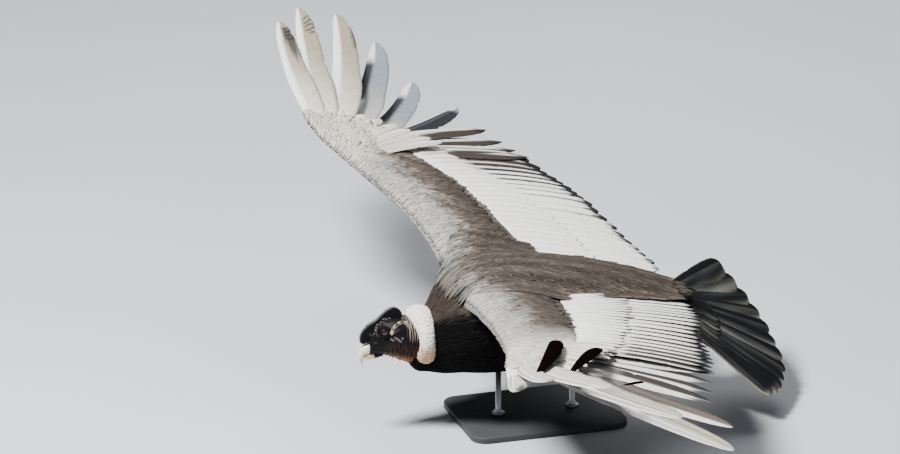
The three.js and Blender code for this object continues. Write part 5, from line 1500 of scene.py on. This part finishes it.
for side, side_name in SIDES:
    rng = np.random.default_rng(181 + side)
    thigh, _ = limb(THIGH_LINE, [r - 3 for r in THIGH_ROUND], side, scute=0.0)
    shank, shank_dents = limb(SHANK_LINE, SHANK_ROUND, side, steps=110, scute=0.10, pitch=6.5)
    kept = shank[:, 0, 0] >= -430
    shank, shank_dents = shank[kept], shank_dents[kept]
    parts, tones = [], []
    for rings, dents, tone in ((thigh, np.zeros(thigh.shape[:2]), SOOT * 2), (shank, shank_dents, None)):
        parts.append(loft(rings))
        grey = mix(np.array([0.30, 0.275, 0.25]), np.array([0.10, 0.09, 0.085]), dents.ravel()[:, None])
        grey = grey if tone is None else np.tile(tone, (dents.size, 1))
        tones.append(np.concatenate([grey, grey[:2]]))
    leg = show(f"leg_scales_{side_name}", mesh_of("leg", *gather(parts), np.concatenate(tones)), leg_finish,
               "leg_skin", f"leg_{side_name}")
    heel = ball(HEEL * [1, side, 1], (17, 15, 11), 24, 32)
    parts, tones = [heel], [np.tile([0.24, 0.22, 0.20], (len(heel[0]), 1))]
    claws = []
    for toe_name, reach, length in TOES:
        reach = np.array(reach, float)
        hind = toe_name == "hind"
        t = np.array([0, 0.2, 0.4, 0.62, 0.85, 1])
        line = HEEL + reach * t[:, None] + np.outer(np.sin(np.pi * t) * (-4 if hind else -7), [0, 0, 1])
        line[:, 2] += 0.6 * np.cos(np.pi * 2 * 3 * t)
        round_of = np.interp(t, [0, 0.4, 0.85, 1], [9, 8, 7, 4.6]) * (0.85 if hind else 1)
        round_of[[1, 3]] *= 1.06
        rings, dents = limb(line, round_of, side, sides=28, steps=90, scute=0.16, pitch=4.2)
        parts.append(loft(rings))
        grey = mix(np.array([0.27, 0.25, 0.23]), np.array([0.08, 0.075, 0.07]), dents.ravel()[:, None])
        tones.append(np.concatenate([grey, grey[:2]]))
        end, along = HEEL + reach, unit(reach)
        t = np.linspace(0, 1, 7)
        hook = end - along * 3 + along * (t * (CLAW_LENGTH * length + 3))[:, None]
        hook = hook - np.outer(CLAW_HOOK * t ** 2, [0, 0, 1])
        claw_round = np.interp(t, [0, 0.35, 0.7, 1], [4.4, 3.6, 2.2, 0.7]) * (0.9 if hind else 1)
        rings, _ = limb(hook, claw_round, side, sides=24, steps=40)
        claws.append(loft(rings))
    foot = show(f"foot_scales_{side_name}", mesh_of("foot", *gather(parts), np.concatenate(tones)),
                leg_finish, "leg_skin", f"foot_{side_name}")
    claw_set = show(f"claws_{side_name}", mesh_of("claws", *gather(claws)), claw_finish, "claw_horn",
                    *[f"claw_{side_name}_{toe_name}" for toe_name, _, _ in TOES])
    for piece in (leg, foot, claw_set):
        unwrap(piece)

    def thigh_cover(p, q, lift, side=side):
        """The thigh's feathered surface, by its share along and the angle round it."""
        line = np.array(THIGH_LINE, float) * [1, side, 1]
        knots = np.linspace(0, 1, len(line))
        p = np.clip(p, 0, 1.25)
        centre = np.stack([between(knots, line[:, k], np.minimum(p, 1)) for k in range(3)], -1)
        centre = centre + np.maximum(p - 1, 0)[:, None] * [-60.0, 0, 6]
        round_of = between(knots, THIGH_ROUND, np.minimum(p, 1)) - 2 + lift
        out = centre + (np.cos(q) * round_of)[:, None] * [0, 1, 0]
        return out + (np.sin(q) * round_of)[:, None] * [0.35, 0, 0.94]

    row_share, row_angle = np.meshgrid(np.linspace(0.02, 0.98, 22), circle(40),
                                       indexing="ij")
    row_angle = row_angle + (np.arange(22) % 2)[:, None] * 0.08
    share, angle = row_share.ravel(), row_angle.ravel()
    n = len(share)
    share = share + 0.02 * (rng.random(n) - 0.5)
    root, bend, tip, up = lay(thigh_cover, share, angle, 0.22 * noise_of(rng, n, 0.2),
                              0.1 * (rng.random(n) - 0.5), (-1.5, 2.5, 2.0), (0.02, 0.05))
    round_dir = np.stack([0 * angle, -np.sin(angle), np.cos(angle)], -1)
    made = vanes(root, bend, tip, round_dir, up, 9 * noise_of(rng, n, 0.2), LANCE, arch=0.8, thick=0.6,
                 ridge=0.2, tilt=0.2 * (rng.random(n) - 0.5))
    light = noise_of(rng, n, 0.3)[:, None]
    show(f"thigh_coat_{side_name}",
         mesh_of("thigh_coat", *made[:3], dress(made[3], SOOT * light, SOOT * 1.8 * light),
         patches(made[3], 0.05 + 0.9 * turn_share(angle), 0.05 + 0.9 * np.clip(share, 0, 1)),
         barb_map(made[3])), coat_finish, "dark_plumage")

# Stand: a powder-coated steel plate with eased edges and two bright steel rods up into the belly, each held
# by a turned collar.
BASE_LONG, BASE_WIDE, BASE_THICK, BASE_CORNER = 400.0, 300.0, 16.0, 40.0
ROD_ROUND, ROD_APART = 7.0, 190.0
# The turned collar and the rod in it: radius, and rise above the plate
COLLAR = [(ROD_ROUND, 0.3), (15.4, 0.3), (16, 0.9), (16, 5), (15.2, 6), (10, 6.6), (9.4, 7.4), (9.4, 12),
          (8.8, 12.8), (ROD_ROUND + 0.1, 13), (ROD_ROUND, 13.2)]
plate_rings = []
for rise, inset in ((0, 2.0), (0.6, 0.6), (1.6, 0), (BASE_THICK - 2.6, 0), (BASE_THICK - 1.2, 0.35),
                    (BASE_THICK - 0.4, 1.2), (BASE_THICK, 2.6), (BASE_THICK, 12)):
    a, b, r = BASE_LONG / 2 - inset, BASE_WIDE / 2 - inset, BASE_CORNER - inset
    corner = np.linspace(0, np.pi / 2, 16)
    ring = [np.stack([sx * (a - r) + r * np.cos(corner + turn), sy * (b - r) + r * np.sin(corner + turn)],
                     -1)
            for sx, sy, turn in ((1, 1, 0), (-1, 1, np.pi / 2), (-1, -1, np.pi), (1, -1, 1.5 * np.pi))]
    ring = np.concatenate(ring)
    plate_rings.append(np.stack([ring[:, 0] - BALANCE, ring[:, 1], np.full(len(ring), rise - LIFT)], -1))
plate_finish, tree, shader = finish("stand_plate", roughness=0.62)
shader.inputs["Specular IOR Level"].default_value = 0.35
powder = pattern(tree, "ShaderNodeTexNoise", Scale=900.0, Detail=2.0)
worn = pattern(tree, "ShaderNodeTexNoise", Scale=9.0, Detail=4.0)
two_tones(tree, shader, worn.outputs["Fac"], (0.034, 0.035, 0.038), (0.052, 0.054, 0.058))
emboss(tree, shader, powder.outputs["Fac"], 0.3, 0.0003)
plate = show("stand_plate", mesh_of("stand_plate", *loft(plate_rings)), plate_finish, "stand_plate",
             "stand_base")
steel_finish, tree, shader = finish("stand_steel", roughness=0.3, metallic=1.0)
place = add_node(tree, "ShaderNodeTexCoord").outputs["Object"]
long_way = add_node(tree, "ShaderNodeVectorMath", {0: place}, operation="MULTIPLY")
long_way.inputs[1].default_value = (1, 1, 0.04)
brushed = add_node(tree, "ShaderNodeTexNoise", {"Vector": long_way.outputs[0]}, Scale=1500.0, Detail=2.0)
two_tones(tree, shader, brushed.outputs["Fac"], (0.50, 0.50, 0.51), (0.68, 0.68, 0.69))
tree.links.new(between_ends(tree, brushed.outputs["Fac"], 0.24, 0.42), shader.inputs["Roughness"])
for way, rod_name in ((1, "front"), (-1, "rear")):
    at = -BALANCE + way * ROD_APART / 2
    turned = 2 * np.pi * np.arange(48) / 48
    into_belly = float(between(BODY["station"], BODY["bottom"], at)) + 6
    profile = [(r, BASE_THICK + rise - LIFT) for r, rise in COLLAR] + [(ROD_ROUND, into_belly)]
    rings = [np.stack([at + r * np.cos(turned), r * np.sin(turned), np.full(48, z)], -1) for r, z in profile]
    rod = show(f"stand_rod_{rod_name}_turned", mesh_of("rod", *loft(rings)), steel_finish, "stand_steel",
               f"stand_rod_{rod_name}")
    unwrap(rod)
unwrap(plate)
